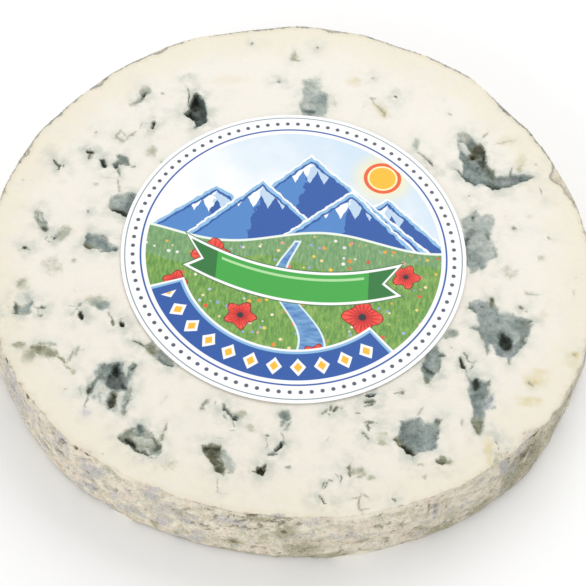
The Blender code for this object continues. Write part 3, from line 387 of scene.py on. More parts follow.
# Yellow stains: x, y, half length, half width, turn, strength
OCHRE_STAINS = (
    (11.5, 49.2, 1.4, 1.0, 0, 0.4), (12.4, 52.4, 0.6, 0.6, 0, 0.2), (-16.5, 47.4, 4.6, 0.9, 3, 0.16),
    (-20.4, 46.6, 1.2, 0.7, 0, 0.14), (-9.5, 58.7, 1.5, 0.7, 0, 0.14), (17.9, 41.3, 2.0, 0.6, -55, 0.7),
    (42.9, -45.6, 3.0, 0.35, 92, 0.75), (51.4, -32.7, 2.4, 0.6, 3, 0.6), (53.0, -26.9, 2.6, 1.6, 30, 0.45),
    (52.0, -28.0, 0.9, 0.5, 5, 0.95), (60.4, -22.0, 1.2, 1.4, 0, 0.3), (61.2, -20.6, 0.6, 0.6, 0, 0.95),
    (54.8, -11.2, 0.7, 0.8, -20, 0.25), (50.0, 29.2, 2.4, 0.8, 80, 0.4), (46.6, 35.0, 2.0, 1.0, 10, 0.3),
)

# Where the rind creeps over the rim, or the paste down: direction, half width, creep inwards
RIND_CREEPS = (
    (-150.0, 2.0, 0.5), (-142.6, 1.0, 0.9), (-134.0, 1.5, 0.4), (-127.0, 1.8, 0.9), (-119.0, 2.2, -0.8),
    (-112.0, 1.8, 0.9), (-104.0, 4.0, 0.4), (-94.0, 3.0, 0.4), (-88.5, 1.5, 0.9), (-80.0, 2.0, 0.3),
    (-74.0, 4.0, -2.2), (-67.0, 2.0, -1.0), (-45.6, 1.6, 2.4), (-42.0, 1.2, -0.6), (-38.4, 2.0, 1.8),
)

# Blotches on the rind: direction, height, half length, half height, strength
BLOOM_BLOTCHES = (
    (-148, 9, 10, 12, 0.7), (-137, 14, 2, 3, 0.5), (-133.5, 10, 2.5, 3, 0.5), (-126, 12, 3, 4, 0.9),
    (-129, 3, 1.5, 1, 0.6), (-113, 15.5, 2, 2, 1.0), (-110, 12, 5, 5, 0.65), (-105, 12.5, 1.8, 1.2, 0.8),
    (-102, 7, 2, 1, 0.6), (-116, 6, 4, 4, 0.5), (-120, 9, 3, 3, 0.4), (-60, 12, 0.8, 4, 1.0),
    (-61.5, 9, 2, 2, 0.6), (-52, 2, 1.2, 2, 0.6), (-45.4, 15, 1.8, 4, 1.0), (-43, 11, 1.5, 3, 0.8),
    (-44.5, 4, 1.5, 2, 0.7), (-78, 12, 2, 1, 0.4), (-36, 5, 3, 2, 0.4),
    (-30, 15, 2, 2, 0.7), (-17, 14, 2.5, 4, 1.0),
)
OLIVE_BLOTCHES = (
    (-150, 16.5, 3, 1, 0.5), (-140, 5, 3, 3, 0.5), (-136, 10, 2, 1.5, 0.5), (-133.5, 4, 0.8, 0.8, 1.0),
    (-125.5, 9.4, 2.4, 1.6, 0.7), (-112, 4, 1.5, 3, 0.8), (-107, 12.5, 2.5, 2.5, 0.6),
    (-108, 3.5, 0.7, 1.2, 0.9), (-104, 16, 1, 0.8, 0.6), (-97, 6, 1.8, 2, 1.0), (-92, 9, 2, 5, 0.6),
    (-93, 16.2, 3.5, 1.4, 0.8), (-88, 12.5, 2.5, 3, 1.0), (-85, 5, 6, 6, 0.75), (-80, 2, 7, 2, 0.9),
    (-72, 14, 3, 1.5, 0.3), (-63.5, 13, 2, 2, 0.5), (-62, 6, 4, 4, 0.65), (-58, 3, 6, 3, 0.8),
    (-50, 4, 5, 4, 0.75), (-43, 7, 4, 9, 1.0), (-37, 9, 5, 12, 0.8), (-30, 9, 6, 12, 0.7),
    (-24, 10, 6, 7, 0.8),
)
DARK_BLOTCHES = (
    (-151.5, 17.2, 0.8, 0.4, 1.0), (-142.8, 17.3, 0.7, 0.4, 1.0), (-132, 16.4, 1.2, 0.45, 1.0),
    (-129, 17.2, 0.6, 0.45, 1.0), (-126.6, 17.4, 0.8, 0.3, 1.0), (-121.3, 16.7, 0.25, 0.6, 0.6),
    (-108.5, 13, 0.9, 0.5, 0.7), (-102, 8.8, 1.1, 0.35, 0.8), (-99.5, 7.2, 0.7, 0.3, 0.6),
    (-98, 17.4, 1.0, 0.3, 0.7), (-94, 17.3, 1.4, 0.4, 0.9), (-96, 16.3, 4, 0.8, 0.6),
    (-90, 16.0, 3.5, 0.9, 0.62), (-102, 16.5, 2.5, 0.6, 0.58), (-122, 15.8, 4, 0.6, 0.5),
    (-88, 12.5, 0.9, 0.9, 0.9),
    (-87, 9, 5, 6, 0.32), (-82.5, 1.8, 0.7, 0.6, 0.8), (-82, 2, 9, 2, 0.35), (-76.5, 1.8, 0.6, 0.6, 0.8),
    (-68, 1.8, 0.6, 0.6, 0.8), (-59, 6.5, 0.5, 1.0, 0.6), (-60, 2.5, 8, 3, 0.34), (-48, 5, 5, 5, 0.28),
    (-44.5, 16.6, 0.4, 1.2, 0.8), (-40.5, 13.6, 1.7, 1.6, 0.8), (-38.4, 11.4, 2.2, 1.0, 0.6),
    (-37.5, 17.4, 0.9, 0.4, 0.9),
    (-38, 9, 7, 10, 0.46), (-29, 10, 7, 9, 0.42), (-22, 9, 5, 5, 0.46), (-97, 6, 1.1, 1.1, 0.8),
    (-110, 8, 6, 7, 0.2),
)

# Tints of the rind: shift of the noise, size, low, high, strength, colour
RIND_TINTS = (
    (29, 6.0, -0.1, 0.5, 0.60, (232, 214, 198)),
    (53, 5.0, 0.0, 0.6, 0.65, (178, 180, 154)),
    (83, 4.6, 0.0, 0.5, 0.75, (188, 186, 191)),
    (97, 1.4, 0.25, 0.9, 0.55, (142, 136, 108)),
    (11, 1.1, 0.1, 0.8, 0.60, (246, 241, 229)),
)

# Clouds in the paste: shift of the noise, size, detail, roughness, low, high, strength, colour
PASTE_CLOUDS = (
    ((31, 0, 0), 8.0, 4.0, 0.6, 0.0, 0.9, 0.6, (226, 226, 216)),
    ((0, 47, 0), 9.0, 3.0, 0.5, 0.05, 0.9, 0.5, (240, 227, 212)),
    ((0, 0, 23), 3.4, 5.0, 0.65, 0.35, 1.2, 0.35, (210, 208, 193)),
)

# Colours of the mould by its darkness, in three hues; the darkest stops colour the holes, dark mould with
# painted shade
SLATE_MOULD = (
    (0.0, (228, 229, 219)), (0.25, (205, 210, 202)), (0.45, (178, 187, 181)),
    (0.65, (146, 158, 154)), (0.85, (108, 118, 113)), (1.0, (60, 66, 57)),
)
LILAC_MOULD = (
    (0.0, (228, 226, 224)), (0.3, (200, 199, 203)), (0.6, (152, 155, 160)),
    (0.85, (110, 114, 116)), (1.0, (60, 62, 60)),
)
OLIVE_MOULD = (
    (0.0, (230, 227, 210)), (0.3, (202, 200, 178)), (0.6, (154, 155, 130)),
    (0.85, (100, 100, 80)), (1.0, (56, 57, 44)),
)

# How shapes turn into fields over the face
DEPTH_STEP = 0.45               # one step of depth in the tables
FAINT_BELOW = 0.45              # marks fainter than this are drawn larger and darker by these
FAINT_LENGTH = 1.15
FAINT_WIDTH = 1.2
FAINT_SHADE = 0.07
FAR = 4.0                       # a field is worked out this far from a shape's edge
SOFT_FAINT = 1.0                # softness of the edge of a faint shape
SOFT_DARK = 0.35                # and of a dark one
SOFT_LEAST = 0.16               # and of the narrowest one
BLANK = -FAR / SOFT_DARK        # a field where there is no shape
HOLE_SHADE = 0.8                # shapes darker than this are also holes
POCKET_FLOOR_SHADE = 0.70       # darkness of the mould round such a hole
PIT_WALL = (0.35, 0.2)          # width of a pocket's wall, and more for each millimetre of depth
PIT_WALL_SHARE = 0.7            # the most of a shape's half width that its wall takes
RIDGE_STANDS = 0.6              # share of the depth that a ridge of paste fills
VEIL_REACH = 2.4                # how far the pale halo of the mould spreads
WARPS = ((3.2, 0.35), (1.4, 0.4), (0.55, 0.2))      # size and push of the noise that frays shapes

# Points of a cut face, as multiples of the fine step, and how near a pocket and the rim they go
WIDE_STEP = 4
NEAR_STEP = 2
HIDDEN_STEP = 8                 # under the label
NEAR_POCKET = 1.0
NEAR_RIM = 3.0
IN_POCKET = 0.35
AT_RIM = 0.9
FAINTEST_POCKET = 0.3
HIDDEN_MARGIN = 1.5

# Level of a cut face: waves as size, shift of the noise and height, then lumps in the pockets
FACE_WAVES = ((15.0, 0.0, 0.07), (4.0, 3.0, 0.03))
LUMP_SHARE = 0.22
LUMP_HEIGHT = 0.12
RIM_CRUMBLE = 0.55

# Relief of the rind: sizes of its features, and their heights as shares of the pit depth
PIT_SIZE = 1.9
PIT_SHARES = (0.4, 0.7)
FOLD_SIZES = (5.0, 5.0, 1.6)
FOLD_SHARE = 0.35
CRACK_SIZE = 3.1
CRACK_WIDTH = 0.11
CRACK_SHARE = 1.1
CRACK_PATCHES = 6.0

# Grains of mould and crumbs: smallest and largest, as shares of the radius they are given
GRAIN_SMALLEST = (0.45, 0.45, 0.3)
GRAIN_LARGEST = (1.0, 1.0, 0.55)
PER_SQUARE_METRE = 10000.0      # square centimetres in a square metre

# The sheet of paper: sides of its round, rings of its mesh and the scale of its waves
PAPER_SIDES = 256
PAPER_RINGS = 26
PAPER_WAVES = 75.0

# Faint specks of mould, drawn at random over the cut faces
SPECKS = 70
SPECK_LENGTH = (0.2, 0.7)
SPECK_SHADE = (0.12, 0.38)
SPECK_HUE = -0.7

# The underside has its own pockets, drawn as the frame's are
UNDER_POCKETS = 16
UNDER_REACH = (0.12, 0.86)
UNDER_LENGTH = (1.2, 4.0)
UNDER_DEPTH = (0.4, 1.0)
UNDER_SPACING = 12.0
SEED = 11

# The rind behind the view has blotches like those in front, drawn at random
HIDDEN_TURNS = (-25.0, 205.0)
HIDDEN_CREEPS = 22
HIDDEN_BLOTCHES = {"bloom": 26, "olive": 34, "mark": 26}

# What the mesh tells the material at each point
FIELDS = (
    "cover", "shade", "tone", "hole", "dark", "veil", "stain", "inward", "wall", "pit", "bloom", "olive",
    "mark",
)

# The print, in millimetres from the middle of the label
PICTURE_RADIUS = 32.2
RING_RADII = (33.3, 36.7)
PEAKS = (                       # across, up, fall to the left and to the right
    (-18.0, 15.5, 0.85, 0.75), (20.0, 14.5, 0.8, 0.95), (2.5, 25.0, 1.0, 0.9),
    (-8.0, 17.5, 1.0, 0.95), (12.0, 16.0, 0.9, 1.05),
)
SUN_PLACE = (18.6, 21.4)
SUN_RADIUS = 4.2
RIBBON_HALF = 3.5
RIBBON_REACH = 22.5
CRESCENT = (25.8, 32.2)         # inner and outer radius
CRESCENT_TURNS = (-158.0, -48.0)
DIAMONDS = 36                   # in a whole turn
FLOWERS = (                     # across, up, radius, petals, turn in degrees
    (-17.5, -2.5, 4.6, 4, 20.0), (-10.5, -17.0, 3.4, 5, 50.0), (15.5, -15.5, 4.3, 4, 0.0),
    (24.5, -4.5, 3.0, 5, 10.0), (-25.0, -9.5, 2.6, 4, 40.0), (6.0, -25.5, 2.6, 5, 0.0),
)
BEADS = 96
BEAD_RADIUS = 0.46
BEAD_RING = 35.0
FAR_GRASS = ((0.0, (66, 112, 84)), (0.5, (116, 160, 104)), (1.0, (176, 204, 140)))
NEAR_GRASS = ((0.0, (42, 88, 40)), (0.35, (84, 138, 58)), (0.65, (134, 178, 82)), (1.0, (216, 224, 142)))
SMALL_FLOWERS = (
    (0.0, (250, 250, 244)), (0.3, (250, 208, 60)), (0.55, (228, 60, 48)), (0.7, (250, 250, 244)),
    (0.85, (150, 170, 220)),
)

# The camera, fitted to the photograph, and the stage: lamps are name, place and size in metres
ELEVATION = math.radians(57.4496)
ROLL = math.radians(3.96611)
CAMERA_DISTANCE = 400.0
CAMERA_TARGET = (0.7032, -11.6226, 20.0)
SENSOR_WIDTH = 36.0
FLOOR_HALF = 3.0
LAMPS = (("key", (-0.6, -0.85, 0.45), 0.7), ("top", (0.3, 0.8, 0.85), 1.0))


def paint(red, green, blue):
    """A colour as seen on a screen, from 0 to 255, as Blender's linear values."""
    def linear(value):
        share = value / 255
        return share / 12.92 if share <= 0.04045 else ((share + 0.055) / 1.055) ** 2.4
    return (linear(red), linear(green), linear(blue), 1.0)


def colour_setting(name, description, red, green, blue):
    """A colour that the user may change."""
    return bpy.props.FloatVectorProperty(
        name=name, description=description, subtype="COLOR", size=4, min=0.0, max=1.0,
        default=paint(red, green, blue),
    )


def length_setting(name, description, millimetres):
    """A length that the user may change, shown in the scene's units."""
    return bpy.props.FloatProperty(
        name=name, description=description, unit="LENGTH", default=millimetres * MM, precision=5
    )


def count_setting(name, description, number, least=0):
    """A whole number that the user may change."""
    return bpy.props.IntProperty(name=name, description=description, default=number, min=least)


class SliceSettings(bpy.types.PropertyGroup):
    """Sizes and colours of the slice."""

    columns: count_setting("Columns", "Steps round the rind", 780, 96)
    rows: count_setting("Rows", "Steps up the rind between its two rims", 36, 4)
    fine_step: length_setting("Fine step", "Distance between points in a pocket", 0.29)
    pit_depth: length_setting("Pit depth", "Depth of the pits and cracks of the rind", 0.45)
    tuft_size: length_setting("Tuft size", "Radius of the largest tuft of mould", 0.17)
    tuft_number: count_setting("Tufts", "Tufts of mould for each square centimetre", 900)
    crumb_size: length_setting("Crumb size", "Radius of the largest crumb on the rind", 0.26)
    crumb_number: count_setting("Crumbs", "Crumbs for each square centimetre of rind", 110)
    paste_middle: colour_setting("Paste", "Paste in the middle of the face", 240, 235, 224)
    paste_rim: colour_setting("Paste by the rind", "Paste next to the rind", 235, 228, 207)
    rind_cream: colour_setting("Rind cream", "Palest patches of the rind", 241, 233, 213)
    rind_taupe: colour_setting("Rind taupe", "Main colour of the rind", 210, 200, 176)
    rind_bloom: colour_setting("Rind bloom", "Grey bloom on the rind", 184, 183, 183)
    rind_olive: colour_setting("Rind olive", "Olive patches of the rind", 160, 157, 126)
    # Colour of the rind's cracks and specks, and of its painted shade in the pits and at the foot
    rind_crack_and_shade: colour_setting("Rind cracks", "Cracks and specks of the rind", 94, 87, 66)


class LabelSettings(bpy.types.PropertyGroup):
    """Sizes and colours of the paper label."""

    radius: length_setting("Radius", "Radius of the paper", LABEL_RADIUS)
    thickness: length_setting("Thickness", "Thickness of the paper", 0.12)
    lift: length_setting("Lift", "Height of the paper over the cut face", 0.16)
    wave: length_setting("Wave", "How far the paper rises and falls", 0.1)
    paper: colour_setting("Paper", "Unprinted paper", 253, 253, 253)
    royal: colour_setting("Royal blue", "Mountains and bands", 27, 84, 165)
    pale_blue: colour_setting("Pale blue", "Outlines round the blue shapes", 142, 190, 226)
    ribbon: colour_setting("Ribbon green", "The plain ribbon", 57, 168, 62)
    petal: colour_setting("Petal red", "Large flowers", 226, 38, 34)
    sun: colour_setting("Sun yellow", "The sun", 250, 190, 40)


class StageSettings(bpy.types.PropertyGroup):
    """Floor, light and camera."""

    floor: colour_setting("Floor", "The floor", 254, 254, 254)
    world: bpy.props.FloatProperty(
        name="Room light", description="Strength of the light from all round", default=0.70
    )
    key: bpy.props.FloatProperty(
        name="Key light", description="Power of the soft light in front", default=3.6, unit="POWER"
    )
    top: bpy.props.FloatProperty(
        name="Top light", description="Power of the soft light behind", default=6.4, unit="POWER"
    )
    lens: length_setting("Lens", "Focal length on a 36 mm sensor", 115.345)


def outline_radius(angle):
    """Distance from the first centre to the slice's edge, in a direction in radians."""
    radius = RADIUS
    for lobes, height, first in OUTLINE_LOBES:
        radius += height * math.cos(lobes * (angle - math.radians(first)))
    for direction, half_width, height in EDGE_SHAPES:
        away = math.remainder(angle - math.radians(direction), 2 * math.pi) * RADIUS
        radius += height * math.exp(-(away / half_width) ** 2)
    return radius


def outline_middle():
    """Middle of the outline's box, which is the origin of the frame."""
    turns = [math.radians(step) for step in range(360)]
    xs = [outline_radius(turn) * math.cos(turn) for turn in turns]
    ys = [outline_radius(turn) * math.sin(turn) for turn in turns]
    return Vector(((min(xs) + max(xs)) / 2, (min(ys) + max(ys)) / 2, 0.0))


def swell(height):
    """How far the rind stands out beyond the rim at a height."""
    span = THICKNESS - SWELL_HEIGHT
    return RIND_SWELL * (1 - ((height - SWELL_HEIGHT) / span) ** 2)


def lean(angle, height):
    """How far the rind lies inside its plain swell, in a direction in radians."""
    inset = FOOT_CURVE * max(0.0, 1 - height / FOOT_HEIGHT) ** 2
    share = min(1.0, (THICKNESS - height) / LEAN_HEIGHT)
    for direction, half_width, most in RIND_LEANS:
        away = math.remainder(math.degrees(angle) - direction, 360.0)
        inset += most * share * math.exp(-(away / half_width) ** 2)
    return inset


def smooth(value, low, high):
    """Numbers eased from 0 at low to 1 at high."""
    share = np.clip((value - low) / (high - low), 0.0, 1.0)
    return share * share * (3 - 2 * share)


def noise_at(points, size, shift=0.0):
    """Smooth noise from about -1 to 1 at rows of x, y, z, with features of a given size."""
    return np.array([noise.noise(Vector(point) / size + Vector((shift, 0, 0))) for point in points])


def ragged(points):
    """Rows of x, y pushed about by noise, so that ovals come out with natural edges."""
    moved = points.copy()
    for size, push in WARPS:
        for row, point in enumerate(points):
            drift = noise.noise_vector(Vector((point[0], point[1], 0.0)) / size)
            moved[row] += (drift.x * push, drift.y * push)
    return moved


def oval_reach(points, x, y, length, width, turn):
    """Rows near an oval, and how far inside its edge each lies, in millimetres."""
    near = np.flatnonzero(np.hypot(points[:, 0] - x, points[:, 1] - y) < length + FAR)
    cos, sin = math.cos(math.radians(turn)), math.sin(math.radians(turn))
    dx, dy = points[near, 0] - x, points[near, 1] - y
    along, across = (dx * cos + dy * sin) / length, (dy * cos - dx * sin) / width
    level = np.hypot(along, across)
    steepness = np.maximum(np.hypot(along / length, across / width), 1e-6)
    return near, np.clip(level * (1 - level) / steepness, -FAR, width)


def patch_reach(points, corners):
    """Rows near a patch, and how far inside its outline each lies, in millimetres."""
    corners = np.array(corners)
    low, high = corners.min(axis=0) - FAR, corners.max(axis=0) + FAR
    near = np.flatnonzero(((points > low) & (points < high)).all(axis=1))
    place = points[near]
    away = np.full(len(near), FAR)
    inside = np.zeros(len(near), dtype=bool)
    for start, end in zip(corners, np.roll(corners, -1, axis=0)):
        side = end - start
        x, y = (place - start).T
        along = np.clip((x * side[0] + y * side[1]) / (side @ side), 0.0, 1.0)
        away = np.minimum(away, np.hypot(x - along * side[0], y - along * side[1]))
        level = (start[1] > place[:, 1]) != (end[1] > place[:, 1])
        inside ^= level & ((x * side[1] < y * side[0]) == (side[1] > 0))
    return near, np.where(inside, away, -away)


class FaceFields:
    """What the mould does at each point of a cut face, laid down shape by shape."""

    def __init__(self, count):
        self.cover = np.full(count, BLANK)
        self.hole = np.full(count, BLANK)
        self.shade = np.zeros(count)
        self.tone = np.zeros(count)
        self.dark = np.full(count, HOLE_SHADE)
        self.veil = np.zeros(count)
        self.stain = np.zeros(count)
        self.depth = np.zeros(count)

    def add_mould(self, near, reach, shade, hue, deep):
        """Lay mould over what is there already, its edge softer the fainter it is."""
        soft = SOFT_FAINT + (SOFT_DARK - SOFT_FAINT) * min(1.0, shade / HOLE_SHADE)
        step = reach / min(soft, max(SOFT_LEAST, float(reach.max())))
        floor_shade = min(shade, POCKET_FLOOR_SHADE)
        lighter = self.shade[near] > floor_shade
        over = np.where(lighter, smooth(step, -0.3, 0.8), smooth(step, -2.2, 0.2))
        self.shade[near] += (floor_shade - self.shade[near]) * over
        self.tone[near] += (hue - self.tone[near]) * over
        self.cover[near] = np.maximum(self.cover[near], step)
        halo = shade * np.exp(np.minimum(reach, 0) / VEIL_REACH)
        self.veil[near] = np.maximum(self.veil[near], halo)
        if shade > HOLE_SHADE:
            self.dark[near] += (shade - self.dark[near]) * smooth(step, -1.5, 0.5)
            self.hole[near] = np.maximum(self.hole[near], step)
        if deep:
            wall = min(PIT_WALL_SHARE * float(reach.max()), PIT_WALL[0] + PIT_WALL[1] * deep)
            self.depth[near] = np.maximum(self.depth[near], deep * smooth(reach, 0, max(wall, 0.1)))

    def add_ridge(self, points, ridge):
        """Let clean paste stand up inside a pocket."""
        near, reach = oval_reach(points, *ridge[:5])
        clean = smooth(reach, -0.2, 0.25)
        self.shade[near] += (ridge[5] - self.shade[near]) * clean
        self.hole[near] = np.minimum(self.hole[near], -reach / SOFT_DARK)
        self.depth[near] *= 1 - RIDGE_STANDS * clean

    def add_stain(self, points, stain):
        """Lay a yellow stain on the paste."""
        near, reach = oval_reach(points, *stain[:5])
        self.stain[near] = np.maximum(self.stain[near], stain[5] * smooth(reach, -0.8, 0.3))


def random_specks(draw):
    """Faint small marks scattered over a cut face."""
    specks = []
    for _ in range(SPECKS):
        angle = draw.uniform(0, 2 * math.pi)
        away = RADIUS * math.sqrt(draw.uniform(0.0, 0.95))
        length = draw.uniform(*SPECK_LENGTH)
        width = length * draw.uniform(0.25, 0.8)
        specks.append((
            away * math.cos(angle), away * math.sin(angle), length, width,
            draw.uniform(0, 180), draw.uniform(*SPECK_SHADE), SPECK_HUE, 0,
        ))
    return specks


def under_marks():
    """The underside's pockets, each with a darker slit and a small mark beside it."""
    draw = random.Random(SEED)
    pockets = []
    while len(pockets) < UNDER_POCKETS:
        angle = draw.uniform(0, 2 * math.pi)
        reach = RADIUS * math.sqrt(draw.uniform(UNDER_REACH[0] ** 2, UNDER_REACH[1] ** 2))
        x, y = reach * math.cos(angle), reach * math.sin(angle)
        if any(math.dist((x, y), other[:2]) < UNDER_SPACING for other in pockets):
            continue
        length = draw.uniform(*UNDER_LENGTH)
        width = length * draw.uniform(0.4, 0.8)
        pockets.append((x, y, length, width, draw.uniform(0, 180), draw.uniform(*UNDER_DEPTH)))
    marks = []
    for x, y, length, width, turn, depth in pockets:
        hue = draw.uniform(-0.6, 0.2)
        marks.append((x, y, length, width, turn, draw.uniform(0.45, 0.7), hue, depth))
        marks.append((
            x + length * draw.uniform(-0.4, 0.4), y - width * 0.4, length * 0.45, width * 0.3,
            turn + draw.uniform(-25, 25), draw.uniform(0.82, 1.0), hue, depth,
        ))
        marks.append((
            x - length * draw.uniform(0.8, 1.3), y + width * draw.uniform(-1.5, 1.5),
            length * 0.3, width * 0.25, draw.uniform(0, 180), draw.uniform(0.4, 0.9), hue, depth * 0.4,
        ))
    return marks


def drawn(mark):
    """A mark of the table as it is drawn: its depth in millimetres, and bolder if it is faint."""
    x, y, length, width, turn, shade, hue, deep = mark
    if shade < FAINT_BELOW:
        length, width, shade = length * FAINT_LENGTH, width * FAINT_WIDTH, shade + FAINT_SHADE
    return x, y, length, width, turn, shade, hue, deep * DEPTH_STEP


def face_fields(points, patches, marks, ridges=(), stains=()):
    """The fields of a cut face at rows of x, y."""
    moved = ragged(points)
    fields = FaceFields(len(points))
    for shade, hue, deep, corners in patches:
        fields.add_mould(*patch_reach(moved, corners), shade, hue, deep * DEPTH_STEP)
    for mark in marks:
        fields.add_mould(*oval_reach(moved, *mark[:5]), *mark[5:])
    for ridge in ridges:
        fields.add_ridge(moved, ridge)
    for stain in stains:
        fields.add_stain(moved, stain)
    return fields


def every(i, j, step):
    """True where both lattice numbers are multiples of a step."""
    return (i % step == 0) & (j % step == 0)


def lattice(step, rim, patches, marks, label_hides):
    """Points of a cut face: close together in pockets and by the rim, wide apart elsewhere."""
    row_share = math.sqrt(0.75)
    lengths = np.hypot(rim[:, 0], rim[:, 1])
    span = int(max(lengths) / step / 0.86) + 2
    i, j = np.meshgrid(np.arange(-2 * span, 2 * span), np.arange(-span, span))
    i, j = i.ravel(), j.ravel()
    points = np.stack(((i + j / 2) * step, j * step * row_share), axis=1)
    angles = np.arctan2(points[:, 1], points[:, 0]) % (2 * math.pi)
    turns = np.arange(len(rim) + 1) * 2 * math.pi / len(rim)
    inward = np.interp(angles, turns, np.append(lengths, lengths[0])) - np.hypot(points[:, 0], points[:, 1])
    inside = inward > 0.4 * step
    i, j, points, inward = i[inside], j[inside], points[inside], inward[inside]
    reach = np.full(len(points), -FAR)
    shapes = [patch_reach(points, patch[3]) for patch in patches]
    shapes += [oval_reach(points, *mark[:5]) for mark in marks if mark[5] > FAINTEST_POCKET]
    for near, depth_in in shapes:
        reach[near] = np.maximum(reach[near], depth_in)
    keep = every(i, j, WIDE_STEP)
    keep |= every(i, j, NEAR_STEP) & ((reach > -NEAR_POCKET) | (inward < NEAR_RIM))
    keep |= (reach > -IN_POCKET) | (inward < AT_RIM)
    if label_hides:
        away = np.hypot(points[:, 0] - LABEL_CENTRE[0], points[:, 1] - LABEL_CENTRE[1])
        keep &= (away > LABEL_RADIUS - HIDDEN_MARGIN) | every(i, j, HIDDEN_STEP)
    return points[keep], inward[keep]


def wall_rings(settings):
    """Heights and insets of the wall's rings, with a small round at each rim."""
    bends = [RIM_DEPTH * share for share in (0.0, 0.12, 0.35, 0.65)]
    rings = [(bend, RIM_ROUNDING * (1 - bend / RIM_DEPTH) ** 2) for bend in bends]
    low, high = RIM_DEPTH, THICKNESS - RIM_DEPTH
    middle = [(low + (high - low) * row / settings.rows, 0.0) for row in range(settings.rows + 1)]
    return rings + middle + [(THICKNESS - height, inset) for height, inset in reversed(rings)]


def rind_relief(point, depth):
    """Pits, cracks and crumbs of the rind at a point, in millimetres outwards."""
    pits = noise.fractal(point / PIT_SIZE + Vector((7.0, 0.0, 0.0)), 0.7, 2.1, 4)
    folds = noise.noise(Vector([place / size for place, size in zip(point, FOLD_SIZES)]))
    near = noise.voronoi(point / CRACK_SIZE + noise.noise_vector(point / 2.0) * 0.35)[0]
    crack = max(0.0, 1 - (near[1] - near[0]) / CRACK_WIDTH)
    some = max(0.0, noise.noise(point / CRACK_PATCHES + Vector((0.0, 9.0, 0.0))) + 0.05)
    pitted = PIT_SHARES[0] * abs(pits) + PIT_SHARES[1] * max(0.0, pits)
    return -depth * (pitted + FOLD_SHARE * folds + CRACK_SHARE * crack * some)


def rind_creep(directions, draw):
    """How far the rind creeps inwards over the rim, at directions in degrees."""
    creeps = list(RIND_CREEPS)
    for _ in range(HIDDEN_CREEPS):
        creeps.append((draw.uniform(*HIDDEN_TURNS), draw.uniform(1.0, 3.5), draw.uniform(-1.0, 1.0)))
    total = np.zeros(len(directions))
    for direction, half_width, height in creeps:
        away = (directions - direction + 180) % 360 - 180
        total += height * np.exp(-(away / half_width) ** 2)
    return total


def blotch_fields(draw):
    """The rind's blotches by kind, those behind the view drawn at random."""
    kinds = {"bloom": list(BLOOM_BLOTCHES), "olive": list(OLIVE_BLOTCHES), "mark": list(DARK_BLOTCHES)}
    for kind, number in HIDDEN_BLOTCHES.items():
        spread = 1.0 if kind == "mark" else 4.0
        for _ in range(number):
            kinds[kind].append((
                draw.uniform(*HIDDEN_TURNS), draw.uniform(1.0, THICKNESS),
                spread * draw.uniform(0.4, 1.1), spread * draw.uniform(0.4, 1.1), draw.uniform(0.4, 0.9),
            ))
    return kinds


def blotches_at(ring, blotches):
    """Strength of a kind of blotch at rows of x, y, z on the rind."""
    directions = np.degrees(np.arctan2(ring[:, 1], ring[:, 0]))
    strength = np.zeros(len(ring))
    for direction, height, half_length, half_height, most in blotches:
        away = np.radians((directions - direction + 180) % 360 - 180) * RADIUS
        level = (away / half_length) ** 2 + ((ring[:, 2] - height) / half_height) ** 2
        strength = np.maximum(strength, most * np.exp(-level * 0.8))
    return strength


def make_wall(settings):
    """Rings of points up the uneven rind, and how deep each lies in a pit, from 0 to 1."""
    depth = settings.pit_depth / MM
    rings, pits = [], []
    for height, inset in wall_rings(settings):
        near_rim = min(height, THICKNESS - height)
        fine = float(smooth(np.array(near_rim), -0.3, 1.4))
        ring, sunk = [], []
        for column in range(settings.columns):
            angle = 2 * math.pi * column / settings.columns
            radius = outline_radius(angle) + swell(height) - lean(angle, height) - inset
            out = Vector((math.cos(angle), math.sin(angle), 0.0))
            point = out * radius + Vector((0.0, 0.0, height))
            bump = noise.fractal(point / RIND_GRAIN, 0.8, 2.0, 3) * RIND_ROUGHNESS
            relief = rind_relief(point, depth)
            point += out * (bump + relief * fine)
            ring.append(tuple(point))
            sunk.append(min(1.0, max(0.0, -relief / depth)))
        rings.append(ring)
        pits.append(sunk)
    return np.array(rings), np.array(pits)


def triangles(rim, inner):
    """Triangles between a closed outline and the points inside it, seen from above."""
    points = [Vector(point) for point in np.vstack((rim, inner))]
    count = len(rim)
    edges = [(corner, (corner + 1) % count) for corner in range(count)]
    _, _, faces, _, _, _ = delaunay_2d_cdt(points, edges, [], 1, 1e-7, False)
    return [tuple(face) for face in faces]


def rim_crumbs(points, inward):
    """How far the cut face drops where its edge has crumbled away."""
    solid = np.column_stack((points, np.zeros(len(points))))
    rough = noise_at(solid, 1.3, 5.0) + 0.5 * noise_at(solid, 0.5, 2.0)
    gone = np.clip(rough - 0.1, 0, 1) * (1 - smooth(inward, 0.1, 0.9))
    return RIM_CRUMBLE * gone


def face_heights(points, inward, fields):
    """Drop of a cut face below its level: slow waves, pockets and a crumbled edge."""
    solid = np.column_stack((points, np.zeros(len(points))))
    waves = sum(height * (1 + noise_at(solid, size, shift)) for size, shift, height in FACE_WAVES)
    lumps = noise_at(solid, 1.1, 1.0) + 0.6 * noise_at(solid, 0.5, 4.0)
    pockets = fields.depth * (1 + LUMP_SHARE * lumps) + LUMP_HEIGHT * lumps * (fields.depth > 0.05)
    fade = smooth(inward, 0.0, 1.0)
    return waves * fade + np.maximum(pockets, 0) * np.maximum(fade, 0.3) + rim_crumbs(points, inward)


